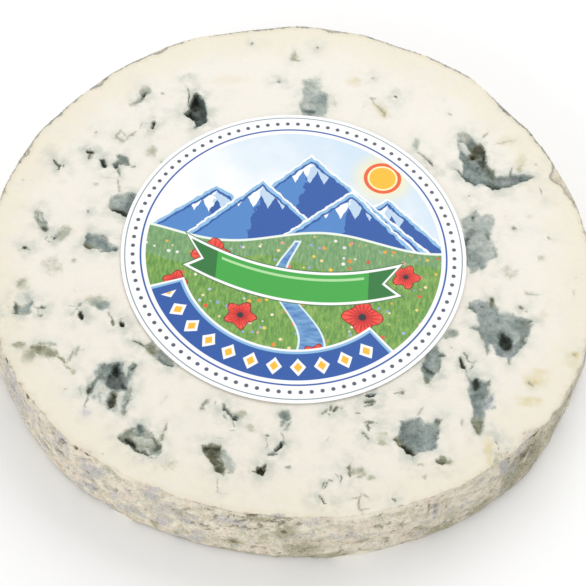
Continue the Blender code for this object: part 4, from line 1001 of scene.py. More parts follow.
class SliceMesh:
    """Gathers the slice's points, faces and fields before they become one mesh."""

    def __init__(self):
        self.points = []
        self.faces = []
        self.fields = {name: [] for name in FIELDS}
        self.count = 0

    def add_points(self, points, **values):
        """Add rows of x, y, z with their fields, and give the number of the first."""
        first = self.count
        self.points.append(points)
        for name, chunks in self.fields.items():
            value = values.get(name, 0.0)
            chunks.append(np.broadcast_to(np.asarray(value, dtype=float), (len(points),)))
        self.count += len(points)
        return first

    def add_face(self, rim_first, rim, creep, step, up, patches, marks, ridges=(), stains=()):
        """Fill one cut face inside a rim that is already in the mesh."""
        inner, inward = lattice(step, rim[:, :2], patches, marks, up)
        fields = face_fields(inner, patches, marks, ridges, stains)
        drop = face_heights(inner, inward, fields)
        values = {name: value for name, value in vars(fields).items() if name in self.fields}
        level = THICKNESS - drop if up else drop
        first = self.add_points(np.column_stack((inner, level)), inward=inward - creep(inner), **values)
        columns = len(rim)
        for face in triangles(rim[:, :2], inner):
            corners = [rim_first + place if place < columns else first + place - columns for place in face]
            self.faces.append(corners if up else corners[::-1])

    def to_mesh(self, name, middle):
        """A Blender mesh in metres from the frame's origin, with a layer for each field."""
        points = (np.vstack(self.points) - np.array(middle)) * MM
        mesh = bpy.data.meshes.new(name)
        mesh.from_pydata(points.tolist(), [], self.faces)
        for field, chunks in self.fields.items():
            layer = mesh.attributes.new(field, "FLOAT", "POINT")
            layer.data.foreach_set("value", np.concatenate(chunks).astype(np.float32))
        mesh.shade_smooth()
        mesh.update()
        return mesh


def make_slice(settings, middle):
    """The whole slice as one closed mesh: rind, upper face and underside."""
    noise.seed_set(SEED)
    wall, pits = make_wall(settings)
    last = len(wall) - 1
    for ring, height in ((0, 1.0), (last, -1.0)):
        wall[ring, :, 2] += height * rim_crumbs(wall[ring, :, :2], np.zeros(settings.columns))
    build = SliceMesh()
    draw = random.Random(SEED)
    turns = np.arange(-180, 181)
    creeps = [rind_creep(turns, draw) for _ in range(2)]
    kinds = blotch_fields(draw)

    def creep_at(points, up):
        return np.interp(np.degrees(np.arctan2(points[:, 1], points[:, 0])), turns, creeps[up])

    firsts = []
    for ring, pit in zip(wall, pits):
        below = np.minimum(THICKNESS - ring[:, 2], ring[:, 2])
        upper_half = ring[:, 2] > THICKNESS / 2
        creep = np.where(upper_half, creep_at(ring, True), creep_at(ring, False))
        blotches = {kind: blotches_at(ring, rows) for kind, rows in kinds.items()}
        firsts.append(build.add_points(
            ring, cover=BLANK, hole=BLANK, wall=np.clip(ring[:, 2] / BARE_FOOT, 0.0, 1.0),
            inward=-below - creep, pit=pit, **blotches
        ))
    for lower, upper in zip(firsts, firsts[1:]):
        for column in range(settings.columns):
            after = (column + 1) % settings.columns
            build.faces.append((lower + column, lower + after, upper + after, upper + column))
    step = settings.fine_step / MM
    top_marks = [*random_specks(draw), *map(drawn, MOULD_MARKS)]
    build.add_face(
        firsts[-1], wall[-1], lambda points: creep_at(points, True), step, True,
        MOULD_PATCHES, top_marks, PASTE_RIDGES, OCHRE_STAINS,
    )
    low_marks = [*random_specks(draw), *under_marks()]
    build.add_face(firsts[0], wall[0], lambda points: creep_at(points, False), step, False, (), low_marks)
    return build.to_mesh("cheese_body", middle)


class Wire:
    """A node's socket that takes part in sums, so that a pattern reads as a formula."""

    def __init__(self, tree, socket=None):
        self.tree = tree
        self.socket = socket

    def node(self, kind, settings=None, inputs=None, out=0):
        """Add a node: its settings first, a ramp's stops among them, then values or links."""
        made = self.tree.nodes.new(kind)
        for key, value in (settings or {}).items():
            if key == "stops":
                self.set_stops(made.color_ramp, value)
            else:
                setattr(made, key, value)
        for key, value in (inputs or {}).items():
            if isinstance(value, Wire):
                self.tree.links.new(value.socket, made.inputs[key])
            else:
                made.inputs[key].default_value = value
        return Wire(self.tree, made.outputs[out])

    def output(self, name):
        """Another output of the same node."""
        return Wire(self.tree, self.socket.node.outputs[name])

    @staticmethod
    def colour(value):
        """A wire or a setting as it is, and three numbers from 0 to 255 as a screen shows them."""
        if isinstance(value, Wire):
            return value
        return paint(*value) if len(value) == 3 else tuple(value)

    @staticmethod
    def set_stops(ramp, stops):
        """Give a ramp its places and colours."""
        while len(ramp.elements) < len(stops):
            ramp.elements.new(0.5)
        for element, (place, colour) in zip(ramp.elements, stops):
            element.position = place
            element.color = Wire.colour(colour)

    def math(self, operation, *others):
        """One of Blender's sums, with this as its first number."""
        return self.node("ShaderNodeMath", {"operation": operation}, dict(enumerate((self, *others))))

    def vector(self, operation, other, key=1):
        """One of Blender's sums on vectors."""
        return self.node("ShaderNodeVectorMath", {"operation": operation}, {0: self, key: other})

    def __add__(self, other):
        return self.math("ADD", other)

    def __sub__(self, other):
        return self.math("SUBTRACT", other)

    def __rsub__(self, other):
        return self.node("ShaderNodeMath", {"operation": "SUBTRACT"}, {0: other, 1: self})

    def __mul__(self, other):
        return self.math("MULTIPLY", other)

    def __abs__(self):
        return self.math("ABSOLUTE")

    __radd__ = __add__
    __rmul__ = __mul__

    def part(self, axis):
        """One of x, y, z of a vector, or of the red, green, blue of a colour."""
        return self.node("ShaderNodeSeparateXYZ", None, {0: self}, out=axis)

    def above(self, other):
        """The larger of the two."""
        return self.math("MAXIMUM", other)

    def below(self, other):
        """The smaller of the two."""
        return self.math("MINIMUM", other)

    def eased(self, low, high):
        """0 below low, 1 above high and a smooth rise between."""
        return self.node(
            "ShaderNodeMapRange",
            {"interpolation_type": "SMOOTHSTEP"},
            {"Value": self, "From Min": low, "From Max": high},
        )

    def mixed(self, first, second):
        """The first colour where this is 0, and the second where it is 1."""
        colours = {6: self.colour(first), 7: self.colour(second)}
        return self.node("ShaderNodeMix", {"data_type": "RGBA"}, {0: self, **colours}, out=2)

    def ramp(self, stops):
        """A colour for each value, from a table of places and colours."""
        return self.node("ShaderNodeValToRGB", {"stops": stops}, {"Fac": self})

    def scaled(self, factor):
        """A vector made longer by one factor."""
        return self.vector("SCALE", factor, "Scale")

    def stretched(self, *factors):
        """A vector made longer by a factor for each axis."""
        return self.vector("MULTIPLY", factors)

    def shifted(self, *steps):
        """A vector moved by a number for each axis."""
        return self.vector("ADD", steps)

    def grain(self, size, detail=2.0, rough=0.5):
        """Cloudy noise of a size in millimetres, from about -1 to 1."""
        cloud = self.node(
            "ShaderNodeTexNoise",
            None,
            {"Vector": self, "Scale": 1 / size, "Detail": detail, "Roughness": rough},
        )
        return (cloud - 0.5) * 3.2

    def cells(self, size, feature="F1", out="Distance"):
        """Distance to the nearest of scattered points, as a share of their spacing."""
        return self.node(
            "ShaderNodeTexVoronoi", {"feature": feature}, {"Vector": self, "Scale": 1 / size}, out=out
        )

    def bump(self, strength, height, relief):
        """Normals tilted by a relief of a height in metres."""
        return self.node("ShaderNodeBump", None, {"Strength": strength, "Distance": height, "Height": relief})


def new_material(name, **constants):
    """A material whose shader has fixed values, its place in millimetres, and its shader."""
    material = bpy.data.materials.new(name)
    material.use_nodes = True
    tree = material.node_tree
    shader = tree.nodes["Principled BSDF"]
    for socket, value in constants.items():
        shader.inputs[socket.replace("_", " ")].default_value = value
    where = Wire(tree).node("ShaderNodeTexCoord", out="Object").scaled(1 / MM)
    return material, where, shader


def feed(shader, **wires):
    """Link wires to a shader's sockets."""
    for socket, wire in wires.items():
        wire.tree.links.new(wire.socket, shader.inputs[socket.replace("_", " ")])


def attribute(where, name):
    """A field of the mesh, by name."""
    return where.node("ShaderNodeAttribute", {"attribute_name": name}, out="Fac")


def paste_paint(where, settings):
    """Ivory paste, whiter in the middle and more buttery by the rind, with faint clouds, and painted shade
    that darkens it towards the front.
    """
    inward = attribute(where, "inward")
    warm = 1 - (inward + where.grain(7.0) * 2.5).eased(0.5, 12.0)
    paste = warm.mixed(settings.paste_middle, settings.paste_rim)
    # Painted shade: the paste darkens towards the front, where the light falls off
    front = 1 - (where.part(1) + where.grain(12.0) * 8.0).eased(-70.0, 30.0)
    paste = (front * 0.5).mixed(paste, (232, 224, 207))
    for shift, size, detail, rough, low, high, strength, colour in PASTE_CLOUDS:
        cloud = where.shifted(*shift).grain(size, detail, rough).eased(low, high)
        paste = (cloud * strength).mixed(paste, colour)
    curd = where.grain(1.3, 4.0, 0.65)
    paste = (curd.eased(-1.2, 1.2) * 0.2).mixed(paste, (246, 243, 236))
    worn = 1 - (inward + where.grain(1.6, 3.0) * 0.5).eased(0.2, 1.5)
    return (worn * 0.3).mixed(paste, (216, 206, 176))


def blotch(where, name, size, low=0.3, high=0.8):
    """A kind of blotch on the rind with a frayed edge, from 0 to 1."""
    return (attribute(where, name) + where.grain(size, 6.0, 0.7) * 0.45).eased(low, high)


def rind_paint(where, settings):
    """Powdery rind: streaks of cream and taupe, tints, olive and grey patches, cracks and specks, with
    painted shade in its pits and a painted contact shadow at its foot.
    """
    streaks = where.stretched(1.0, 1.0, 1.1)
    cream = streaks.grain(2.6, 6.0, 0.68).eased(-0.5, 0.45)
    rind = cream.mixed(settings.rind_taupe, settings.rind_cream)
    for shift, size, low, high, strength, colour in RIND_TINTS:
        tint = streaks.shifted(shift, 0, 0).grain(size, 5.0, 0.66).eased(low, high)
        rind = (tint * strength).mixed(rind, colour)
    olive = blotch(streaks, "olive", 1.5)
    rind = (olive * 0.75).mixed(rind, settings.rind_olive)
    bloom = blotch(streaks.shifted(0, 0, 19), "bloom", 2.0)
    rind = (bloom * 0.75).mixed(rind, settings.rind_bloom)
    dust = where.grain(0.6, 4.0, 0.7)
    rind = (dust.eased(0.0, 0.9) * 0.4).mixed(rind, (243, 238, 226))
    rind = ((0 - dust).eased(0.0, 0.9) * 0.4).mixed(rind, (140, 132, 112))
    drift = where.node("ShaderNodeTexNoise", None, {"Vector": where, "Scale": 0.45}, out="Color")
    bent = where.stretched(1.0, 1.0, 2.2).vector("ADD", drift.scaled(3.0))
    crack = 1 - bent.cells(3.6, "DISTANCE_TO_EDGE").eased(0.0, 0.06)
    torn = where.shifted(0, 0, 41).grain(6.0, 3.0).eased(0.35, 0.95)
    speck = where.shifted(11, 0, 0).grain(0.8, 4.0, 0.7) + olive * 0.6 - 0.25
    # Painted shade: the rind darkens in its pits, the deeper the darker
    pit = (attribute(where, "pit") + where.grain(0.6, 3.0) * 0.25).eased(0.4, 1.0)
    # Painted contact shadow: the rind darkens towards its foot, where it meets the floor
    foot = (1 - (where.part(2) + where.grain(1.5, 3.0) * 0.5).eased(0.2, 1.8)) * 0.6
    dark = (crack * torn * 0.7).above(speck.eased(0.5, 1.0) * 0.75).above(pit * 0.6).above(foot)
    dark = dark.above(blotch(where, "mark", 0.55, 0.35, 0.75) * 0.85)
    return dark.mixed(rind, settings.rind_crack_and_shade)


def mould_paint(shade, tone):
    """Mould by its darkness: grey-green to slate, or lilac, or olive."""
    colour = tone.eased(0.0, 1.0).mixed(shade.ramp(SLATE_MOULD), shade.ramp(LILAC_MOULD))
    return (0 - tone).eased(0.0, 1.0).mixed(colour, shade.ramp(OLIVE_MOULD))


def cheese_material(settings):
    """Paste, mould and rind in one skin, told apart by the fields of the mesh."""
    material, where, shader = new_material(
        "cheese_skin",
        Subsurface_Weight=0.12,
        Subsurface_Scale=0.0015,
        Subsurface_Radius=(1.0, 0.85, 0.6),
        Specular_IOR_Level=0.35,
    )
    tint = attribute(where, "tint")
    paste = paste_paint(where, settings)
    veil = attribute(where, "veil") * where.grain(2.4, 4.0, 0.6).eased(-1.0, 0.8)
    paste = (veil * 1.05).eased(0.0, 0.9).mixed(paste, (196, 199, 188))
    stain = attribute(where, "stain") * where.grain(2.2, 3.0).eased(-1.4, 0.5)
    paste = stain.mixed(paste, (209, 192, 120))

    frayed = where.grain(1.1, 5.0, 0.65) * 0.9 + where.grain(0.34, 2.0) * 0.45
    cover = (attribute(where, "cover") + frayed).eased(-1.3, 1.3)
    patina = where.shifted(5, 0, 0).grain(1.7, 5.0, 0.65)
    shade = attribute(where, "shade") + patina * 0.22 + where.grain(3.6, 3.0) * 0.11
    flecks = where.shifted(0, 3, 0).grain(0.6, 4.0, 0.7).eased(0.3, 1.0)
    shade = shade - flecks * 0.16 + tint * 0.08
    # Holes: dark mould with painted shade, the darkness that deep holes would have
    hole = (attribute(where, "hole") + frayed * 0.8).eased(-1.2, 1.5)
    dark = attribute(where, "dark") + where.grain(1.2, 3.0) * 0.12 + tint * 0.05
    shade = shade + hole * (dark - shade)
    mould = mould_paint(shade * cover, attribute(where, "tone"))
    opacity = (cover * (shade * 3.0).below(1.0)).eased(0.0, 0.9)
    face = opacity.mixed(paste, mould)

    fray = where.grain(2.2, 4.0, 0.6) * 0.4 + where.grain(0.7, 3.0) * 0.22
    edge = attribute(where, "inward") + fray
    rindy = 1 - edge.eased(-0.35, 0.2)
    rind = rind_paint(where, settings)
    border = rindy * (1 - rindy) * where.shifted(3, 3, 0).grain(2.6, 3.0).eased(0.35, 0.9) * 3.0
    colour = border.below(0.8).mixed(rindy.mixed(face, rind), settings.rind_crack_and_shade)
    brim = 1 - abs(edge + 0.12).eased(0.1, 0.5)
    shown = where.part(1).eased(0.0, 30.0).above(where.shifted(0, 61, 0).grain(3.5, 4.0).eased(0.2, 1.2))
    colour = (brim * shown * 0.7).mixed(colour, (138, 139, 138))
    dusty = (tint.eased(0.1, 1.0) * rindy * 0.4).mixed(colour, (238, 232, 218))
    colour = ((0 - tint).eased(0.1, 1.0) * rindy * 0.35).mixed(dusty, (140, 130, 106))

    dry = rindy.above(opacity)
    rough = 0.5 + dry * 0.36 + where.grain(1.6, 3.0) * 0.05
    relief = where.grain(0.35, 4.0, 0.7) * (dry * 0.8 + 0.12) + where.grain(1.4, 3.0) * 0.3
    feed(shader, Base_Color=colour, Roughness=rough, Normal=where.bump(0.6, 0.00016, relief))
    return material


def floor_material(settings):
    """A pale matt finish with a whisper of grain."""
    material, where, shader = new_material("floor_paint")
    dust = where.grain(30.0, 3.0)
    colour = (dust.eased(-1.0, 1.0) * 0.02).mixed(settings.floor, (240, 240, 240))
    feed(shader, Base_Color=colour, Roughness=0.7 + dust * 0.03)
    return material


class GrowthTree:
    """A Geometry Nodes tree with named inputs for its sizes."""

    def __init__(self, name):
        self.tree = bpy.data.node_groups.new(name, "GeometryNodeTree")
        self.tree.is_modifier = True
        for way in ("INPUT", "OUTPUT"):
            self.tree.interface.new_socket("Geometry", in_out=way, socket_type="NodeSocketGeometry")
        self.start = self.tree.nodes.new("NodeGroupInput")
        self.end = self.tree.nodes.new("NodeGroupOutput")

    def size(self, name, kind, value):
        """Add a named input and give its wire inside the tree."""
        item = self.tree.interface.new_socket(name, in_out="INPUT", socket_type=kind)
        item.default_value = value
        return self.wire(name)

    def wire(self, name):
        """The wire of one of the tree's inputs."""
        return Wire(self.tree, self.start.outputs[name])

    def finish(self, geometry, material):
        """End in realized geometry with its material."""
        solid = geometry.node("GeometryNodeRealizeInstances", None, {0: geometry})
        dressed = solid.node("GeometryNodeSetMaterial", None, {0: solid, "Material": material})
        self.tree.links.new(dressed.socket, self.end.inputs[0])

    def grow(self, name, mesh, values):
        """Run the tree on a mesh and keep the result as a plain mesh of its own."""
        piece = bpy.data.objects.new(name, mesh)
        bpy.context.scene.collection.objects.link(piece)
        modifier = piece.modifiers.new(name, "NODES")
        modifier.node_group = self.tree
        for item in self.tree.interface.items_tree:
            if item.in_out == "INPUT" and item.name in values:
                modifier[item.identifier] = values[item.name]
        depsgraph = bpy.context.evaluated_depsgraph_get()
        result = bpy.data.meshes.new_from_object(
            piece.evaluated_get(depsgraph), preserve_all_data_layers=True, depsgraph=depsgraph
        )
        piece.modifiers.remove(modifier)
        piece.data = result
        result.name = name
        return piece


def scatter_tree(name, material, field, low, high):
    """Flattened grains scattered on a surface, the thicker the higher a field of its mesh is."""
    growth = GrowthTree(name)
    number = growth.size("Number", "NodeSocketFloat", 1.0)
    grain = growth.size("Size", "NodeSocketFloat", 0.0002)
    seed = growth.size("Seed", "NodeSocketInt", 1)
    add = number.node

    def random_value(kind, low_key, lowest, highest, out):
        keys = {low_key: lowest, low_key + 1: highest, "Seed": seed}
        return add("FunctionNodeRandomValue", {"data_type": kind}, keys, out=out)

    read = add("GeometryNodeInputNamedAttribute", {"data_type": "FLOAT"}, {"Name": field}, out="Attribute")
    density = number * read.eased(low, high) * PER_SQUARE_METRE
    points = add(
        "GeometryNodeDistributePointsOnFaces",
        {"distribute_method": "RANDOM"},
        {"Mesh": growth.wire("Geometry"), "Density": density, "Seed": seed},
        out="Points",
    )
    ball = add("GeometryNodeMeshIcoSphere", None, {"Radius": grain, "Subdivisions": 1}, out="Mesh")
    sizes = random_value("FLOAT_VECTOR", 0, GRAIN_SMALLEST, GRAIN_LARGEST, 0)
    spin = add("ShaderNodeCombineXYZ", None, {2: random_value("FLOAT", 2, 0.0, 2 * math.pi, 1)})
    turned = add(
        "FunctionNodeRotateRotation", {"rotation_space": "LOCAL"}, {0: points.output("Rotation"), 1: spin}
    )
    grains = add(
        "GeometryNodeInstanceOnPoints",
        None,
        {"Points": points, "Instance": ball, "Rotation": turned, "Scale": sizes},
    )
    tinted = add(
        "GeometryNodeStoreNamedAttribute",
        {"data_type": "FLOAT", "domain": "INSTANCE"},
        {"Geometry": grains, "Name": "tint", "Value": random_value("FLOAT", 2, -1.0, 1.0, 1)},
    )
    growth.finish(tinted, material)
    return growth


def label_tree(material):
    """A round sheet of paper that waves a little where it lies."""
    growth = GrowthTree("paper_round")
    radius = growth.size("Radius", "NodeSocketFloat", 0.03)
    thickness = growth.size("Thickness", "NodeSocketFloat", 0.0001)
    centre = growth.size("Centre", "NodeSocketVector", (0.0, 0.0, 0.0))
    wave = growth.size("Wave", "NodeSocketFloat", 0.0001)
    disc = radius.node(
        "GeometryNodeMeshCylinder",
        {"fill_type": "TRIANGLE_FAN"},
        {"Vertices": PAPER_SIDES, "Side Segments": 1, "Fill Segments": PAPER_RINGS, "Radius": radius,
         "Depth": thickness},
        out="Mesh",
    )
    flat = disc.node("GeometryNodeInputPosition").stretched(1.0, 1.0, 0.0)
    cloud = flat.node("ShaderNodeTexNoise", None, {"Vector": flat, "Scale": PAPER_WAVES, "Detail": 1.0})
    lift = flat.node("ShaderNodeCombineXYZ", None, {2: cloud * wave})
    sheet = disc.node(
        "GeometryNodeSetPosition", None, {"Geometry": disc, "Offset": centre.vector("ADD", lift)}
    )
    growth.finish(sheet, material)
    return growth


def dress(piece, slot, *nodes):
    """Tell the frame what a finished piece rides on and replaces; the slot, what it is made of, is not used.
    """
    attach(piece, BODY)
    if nodes:
        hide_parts(*nodes)


def look_along(elevation, roll):
    """Axes of a camera that looks down at an elevation, turned about its own line of sight."""
    back = Vector((0.0, -math.cos(elevation), math.sin(elevation)))
    right = Vector((1.0, 0.0, 0.0))
    up = right.cross(-back)
    across = right * math.cos(roll) + up * math.sin(roll)
    upward = up * math.cos(roll) - right * math.sin(roll)
    return Matrix((across, upward, back)).transposed()


def printed(reach, under, over, edge=0.08):
    """Print one flat colour over another wherever a reach in millimetres is positive."""
    return reach.eased(-edge, edge).mixed(under, over)


def print_bands(reach, under, *bands):
    """Print bands round a shape, from the outermost: how far each stands out, and its colour."""
    for stands_out, colour in bands:
        under = printed(reach + stands_out, under, colour)
    return under


def distance_to(here, across, up):
    """Distance from a place on the label, in millimetres."""
    near = here.shifted(-across, -up, 0).stretched(1.0, 1.0, 0.0)
    return near.node("ShaderNodeVectorMath", {"operation": "LENGTH"}, {0: near}, out="Value")


def print_sky(here, settings, paper):
    """A sky that fades to white, with the sun."""
    sky = (here.grain(9.0, 4.0) * 0.25 + here.part(1) * 0.02 + here.part(0) * 0.012).eased(-0.1, 0.8)
    paper = (sky * 0.8).mixed(paper, (196, 220, 238))
    away = distance_to(here, *SUN_PLACE)
    paper = ((8.5 - away).eased(0.0, 5.0) * 0.6).mixed(paper, (255, 238, 170))
    for share, colour in ((1.0, (236, 92, 36)), (0.8, (255, 244, 190)), (0.7, settings.sun)):
        paper = printed(SUN_RADIUS * share - away, paper, colour)
    return paper


def print_mountain(here, settings, paper, peak):
    """One snowy mountain with a lit side, outlined in white and pale blue."""
    across, up, left, right = peak
    side = here.part(0) - across
    under = up - here.part(1)
    jag = here.shifted(across, 0, 0).grain(1.9, 3.0) * 0.55
    slope = (0 - side).above(0.0) * left + side.above(0.0) * right
    reach = (under - slope + jag) * 0.72
    paper = print_bands(reach, paper, (1.15, settings.paper), (0.7, settings.pale_blue), (0, settings.royal))
    ridge = (0 - side) - under * 0.16 + jag * 2.2
    paper = printed(ridge.below(reach - 0.5), paper, (74, 132, 200))
    teeth = (here.part(0) * 0.62 + across).math("PINGPONG", 1.0) * 3.4
    snow = (6.4 - under - teeth + jag).below(reach - 0.5)
    paper = printed(snow, paper, (190, 214, 236))
    return printed(snow.below(ridge), paper, settings.paper)


def print_meadow(here, paper):
    """Rolling grass in strokes, with small flowers scattered through it."""
    u, v = here.part(0), here.part(1)
    blades = here.stretched(1.5, 0.42, 0.0).grain(0.9, 5.0, 0.7)
    far = 3.4 + (u * 0.14 + 0.6).math("SINE") * 1.8 - v
    near = -3.0 + (u * 0.19 + 2.7).math("SINE") * 1.7 - v
    grass = (blades * 0.4 + 0.5).ramp(NEAR_GRASS)
    sunny = here.shifted(9, 0, 0).grain(6.0, 3.0).eased(0.1, 1.0) * 0.5
    grass = sunny.mixed(grass, (188, 206, 120))
    paper = print_bands(far, paper, (0.6, (238, 246, 236)), (0, (blades * 0.45 + 0.5).ramp(FAR_GRASS)))
    paper = printed(near, paper, grass)
    spot = here.stretched(1.0, 1.0, 0.0)
    pick = spot.cells(1.9, out="Color").part(0)
    size = 0.26 - spot.cells(1.9) - abs(pick - 0.5) * 0.2
    return printed((size * 1.9).below(far - 0.6), paper, pick.ramp(SMALL_FLOWERS), 0.12)


def print_stream(here, paper):
    """A stream that widens as it comes down the meadow."""
    u, v = here.part(0), here.part(1)
    down = 2.6 - v
    bend = (v * 0.21).math("SINE") * 3.0 - 1.0 + down * 0.12
    reach = (down * 0.085 + 0.35 - abs(u - bend)).below(down)
    ripples = here.stretched(0.5, 1.4, 0.0).grain(1.4, 3.0) * 0.5 + 0.4
    water = ripples.ramp(((0.0, (38, 104, 178)), (1.0, (150, 198, 230))))
    return print_bands(reach, paper, (0.45, (226, 240, 246)), (0, water))


def print_flower(here, settings, paper, flower):
    """A simple open flower with a dark heart."""
    across, up, radius, petals, turn = flower
    away = distance_to(here, across, up)
    angle = (here.part(1) - up).math("ARCTAN2", here.part(0) - across)
    wave = (angle * petals + math.radians(turn)).math("COSINE")
    reach = radius * (0.84 + 0.16 * wave + here.grain(1.2) * 0.06) - away
    crease = (angle * petals * 5).math("SINE") * 0.25
    petal = (away * (0.9 / radius) + crease + here.grain(1.0, 3.0) * 0.2).ramp(
        ((0.0, (150, 16, 22)), (0.45, settings.petal), (1.0, (244, 92, 66)))
    )
    paper = print_bands(reach, paper, (0.25, (120, 22, 24)), (0, petal))
    return printed(radius * 0.2 - away, paper, (38, 34, 44))


def print_ribbon(here, settings, paper):
    """A bare green ribbon with notched ends, outlined in white."""
    u, v = here.part(0), here.part(1)
    drop = v + 8.8 + u * 0.09 - u * u * 0.010
    half = RIBBON_HALF - abs(drop)
    reach = half.below(RIBBON_REACH - half * 0.9 - abs(u))
    paper = print_bands(reach, paper, (0.9, (52, 110, 50)), (0.65, settings.paper), (0, settings.ribbon))
    paper = printed((abs(u) - 16.5).below(reach), paper, (30, 116, 48))
    shine = (0.32 - abs(drop - RIBBON_HALF * 0.62)).below(15.5 - abs(u))
    return printed(shine, paper, (176, 224, 160))


def place_in_repeat(angle, number, radius):
    """Distance round a ring from the middle of the nearest of a number of equal parts."""
    return ((angle * (number / (2 * math.pi))).math("FRACT") - 0.5) * (2 * math.pi / number * radius)


def print_crescent(settings, paper, away, angle):
    """A blue crescent with a row of white diamonds."""
    inner, outer = CRESCENT
    first, last = (math.radians(turn) for turn in CRESCENT_TURNS)
    middle, half = (first + last) / 2, (last - first) / 2
    along = (half - abs(angle - middle)) * outer
    reach = (away - inner).below(outer - away).below(along)
    paper = print_bands(reach, paper, (1.1, settings.paper), (0.6, settings.pale_blue), (0, settings.royal))
    ring = (inner + outer) / 2
    diamond = 1.7 - abs(place_in_repeat(angle, DIAMONDS, ring)) - abs(away - ring) * 0.8
    paper = printed(diamond.below(along - 2.0), paper, settings.paper)
    return printed((diamond - 0.75).below(along - 2.0), paper, settings.sun)


def print_border(settings, paper, away, angle):
    """White border with two thin rings and a row of beads."""
    paper = printed(away - PICTURE_RADIUS, paper, settings.paper)
    paper = printed(0.2 - abs(away - RING_RADII[0]), paper, settings.royal)
    paper = printed(0.12 - abs(away - RING_RADII[1]), paper, (120, 140, 150))
    local = place_in_repeat(angle, BEADS, BEAD_RING)
    off = away - BEAD_RING
    bead = BEAD_RADIUS - (local * local + off * off).math("SQRT")
    return printed(bead, paper, (84, 90, 104))


def label_material(settings):
    """Coated paper with a generic print: mountains, a meadow, a ribbon, flowers and a sun."""
    material, where, shader = new_material("label_print", Specular_IOR_Level=0.4)
    middle = outline_middle()
    here = where.shifted(middle.x - LABEL_CENTRE[0], middle.y - LABEL_CENTRE[1], 0.0)
    here = here.stretched(1.0, 1.0, 0.0)
    away = distance_to(here, 0.0, 0.0)
    angle = here.part(1).math("ARCTAN2", here.part(0))
    paper = here.grain(5.0).eased(-2, 2).mixed(settings.paper, (250, 250, 249))
    paper = print_sky(here, settings, paper)
    for peak in PEAKS:
        paper = print_mountain(here, settings, paper, peak)
    paper = print_meadow(here, paper)
    paper = print_stream(here, paper)
    for flower in FLOWERS:
        paper = print_flower(here, settings, paper, flower)
    paper = print_ribbon(here, settings, paper)
    paper = print_crescent(settings, paper, away, angle)
    paper = print_border(settings, paper, away, angle)
    fibre = where.grain(0.25, 3.0, 0.7)
    feed(shader, Base_Color=paper, Roughness=0.42 + fibre * 0.03, Normal=where.bump(0.25, 0.00004, fibre))
    return material


class CHEESE_OT_make_slice(bpy.types.Operator):
    """Model the slice with its pockets of mould and its rind."""

    bl_idname = "cheese.make_slice"
    bl_label = "Make Slice"

    def execute(self, context):
        settings = context.scene.cheese_slice
        mesh = make_slice(settings, outline_middle())
        mesh.materials.append(cheese_material(settings))
        body = bpy.data.objects.new("cheese_body", mesh)
        context.scene.collection.objects.link(body)
        dress(body, "cheese", "cheese")
        return {"FINISHED"}


def grow_grains(name, field, low, high, number, size, seed):
    """Scatter grains over the slice where one of its fields lies between two values."""
    body = bpy.data.objects["cheese_body"]
    growth = scatter_tree(f"{name}_growth", body.data.materials[0], field, low, high)
    values = {"Number": float(number), "Size": size, "Seed": seed}
    dress(growth.grow(name, body.data, values), "cheese")


class CHEESE_OT_grow_mould(bpy.types.Operator):
    """Scatter soft tufts of mould over the pockets."""

    bl_idname = "cheese.grow_mould"
    bl_label = "Grow Mould"

    def execute(self, context):
        settings = context.scene.cheese_slice
        grow_grains("mould_tufts", "cover", 0.6, 3.0, settings.tuft_number, settings.tuft_size, SEED)
        return {"FINISHED"}


class CHEESE_OT_crumble_rind(bpy.types.Operator):
    """Scatter crumbs and scales over the rind."""

    bl_idname = "cheese.crumble_rind"
    bl_label = "Crumble Rind"

    def execute(self, context):
        settings = context.scene.cheese_slice
        grow_grains("rind_crumbs", "wall", 0.4, 1.0, settings.crumb_number, settings.crumb_size, SEED + 1)
        return {"FINISHED"}


class CHEESE_OT_lay_label(bpy.types.Operator):
    """Lay the printed round of paper on the cut face."""

    bl_idname = "cheese.lay_label"
    bl_label = "Lay Label"

    def execute(self, context):
        settings = context.scene.cheese_label
        middle = outline_middle()
        x, y = (LABEL_CENTRE[0] - middle.x) * MM, (LABEL_CENTRE[1] - middle.y) * MM
        height = THICKNESS * MM + settings.lift + settings.thickness / 2
        growth = label_tree(label_material(settings))
        values = {
            "Radius": settings.radius, "Thickness": settings.thickness,
            "Centre": (x, y, height), "Wave": settings.wave,
        }
        dress(growth.grow("label_paper", bpy.data.meshes.new("label_start"), values), "label", "label")
        return {"FINISHED"}


class CHEESE_OT_set_stage(bpy.types.Operator):
    """Set the pale floor, the soft lights and the camera."""

    bl_idname = "cheese.set_stage"
    bl_label = "Set Stage"

    def execute(self, context):
        settings = context.scene.cheese_stage
        make_floor(context, settings)
        make_lights(context, settings)
        make_camera(context, settings)
        return {"FINISHED"}


def make_floor(context, settings):
    """A wide pale floor that reaches past the view."""
    mesh = bpy.data.meshes.new("floor")
    corners = [(x * FLOOR_HALF, y * FLOOR_HALF, 0) for x, y in ((-1, -1), (1, -1), (1, 1), (-1, 1))]
    mesh.from_pydata(corners, [], [(0, 1, 2, 3)])
    mesh.materials.append(floor_material(settings))
    floor = bpy.data.objects.new("floor", mesh)
    context.scene.collection.objects.link(floor)


def make_lights(context, settings):
    """Soft light low in front and high behind, in a bright room."""
    world = bpy.data.worlds.new("bright_room")
    world.use_nodes = True
    background = world.node_tree.nodes["Background"]
    background.inputs["Color"].default_value = (1.0, 1.0, 1.0, 1.0)
    background.inputs["Strength"].default_value = settings.world
    context.scene.world = world
    for name, place, size in LAMPS:
        light = bpy.data.lights.new(f"{name}_light", "AREA")
        light.size = size
        light.energy = getattr(settings, name)
        lamp = bpy.data.objects.new(light.name, light)
        lamp.location = place
        lamp.rotation_euler = Vector(place).to_track_quat("Z", "Y").to_euler()
        context.scene.collection.objects.link(lamp)


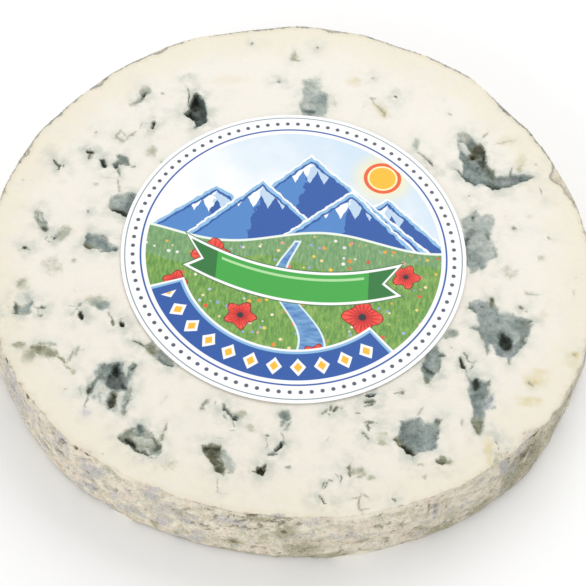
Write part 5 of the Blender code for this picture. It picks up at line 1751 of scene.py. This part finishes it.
def make_camera(context, settings):
    """The camera that sees the slice as in the photograph."""
    axes = look_along(ELEVATION, ROLL)
    target = (Vector(CAMERA_TARGET) - outline_middle()) * MM
    data = bpy.data.cameras.new("camera")
    data.sensor_width = SENSOR_WIDTH
    data.lens = settings.lens / MM
    data.clip_start = 0.01
    camera = bpy.data.objects.new("camera", data)
    camera.matrix_world = Matrix.Translation(target + axes.col[2] * CAMERA_DISTANCE * MM) @ axes.to_4x4()
    context.scene.collection.objects.link(camera)
    context.scene.camera = camera
    context.scene.view_settings.view_transform = "Standard"


class CHEESE_PT_panel(bpy.types.Panel):
    """Lists the slice's settings and the steps that make it."""

    bl_idname = "CHEESE_PT_panel"
    bl_label = "Blue Cheese Slice"
    bl_space_type = "VIEW_3D"
    bl_region_type = "UI"
    bl_category = "Cheese"

    def draw(self, context):
        for step in STEPS:
            self.layout.operator(step.bl_idname)
        for group_name in GROUPS:
            group = getattr(context.scene, group_name)
            box = self.layout.box()
            for name in group.bl_rna.properties.keys():
                if name not in ("rna_type", "name"):
                    box.prop(group, name)


STEPS = (
    CHEESE_OT_make_slice,
    CHEESE_OT_grow_mould,
    CHEESE_OT_crumble_rind,
    CHEESE_OT_lay_label,
    CHEESE_OT_set_stage,
)
GROUPS = {"cheese_slice": SliceSettings, "cheese_label": LabelSettings, "cheese_stage": StageSettings}
CLASSES = (*GROUPS.values(), *STEPS, CHEESE_PT_panel)


def register():
    """Make the settings, the steps and the panel known to Blender."""
    for each in CLASSES:
        bpy.utils.register_class(each)
    for name, group in GROUPS.items():
        setattr(bpy.types.Scene, name, bpy.props.PointerProperty(type=group))


def unregister():
    """Take them away again."""
    for name in GROUPS:
        delattr(bpy.types.Scene, name)
    for each in reversed(CLASSES):
        bpy.utils.unregister_class(each)


def main():
    """Register the classes and run the steps in order."""
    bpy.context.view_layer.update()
    register()
    for step in STEPS:
        operator = getattr(bpy.ops.cheese, step.bl_idname.split(".")[1])
        operator()


if __name__ == "__main__":
    main()
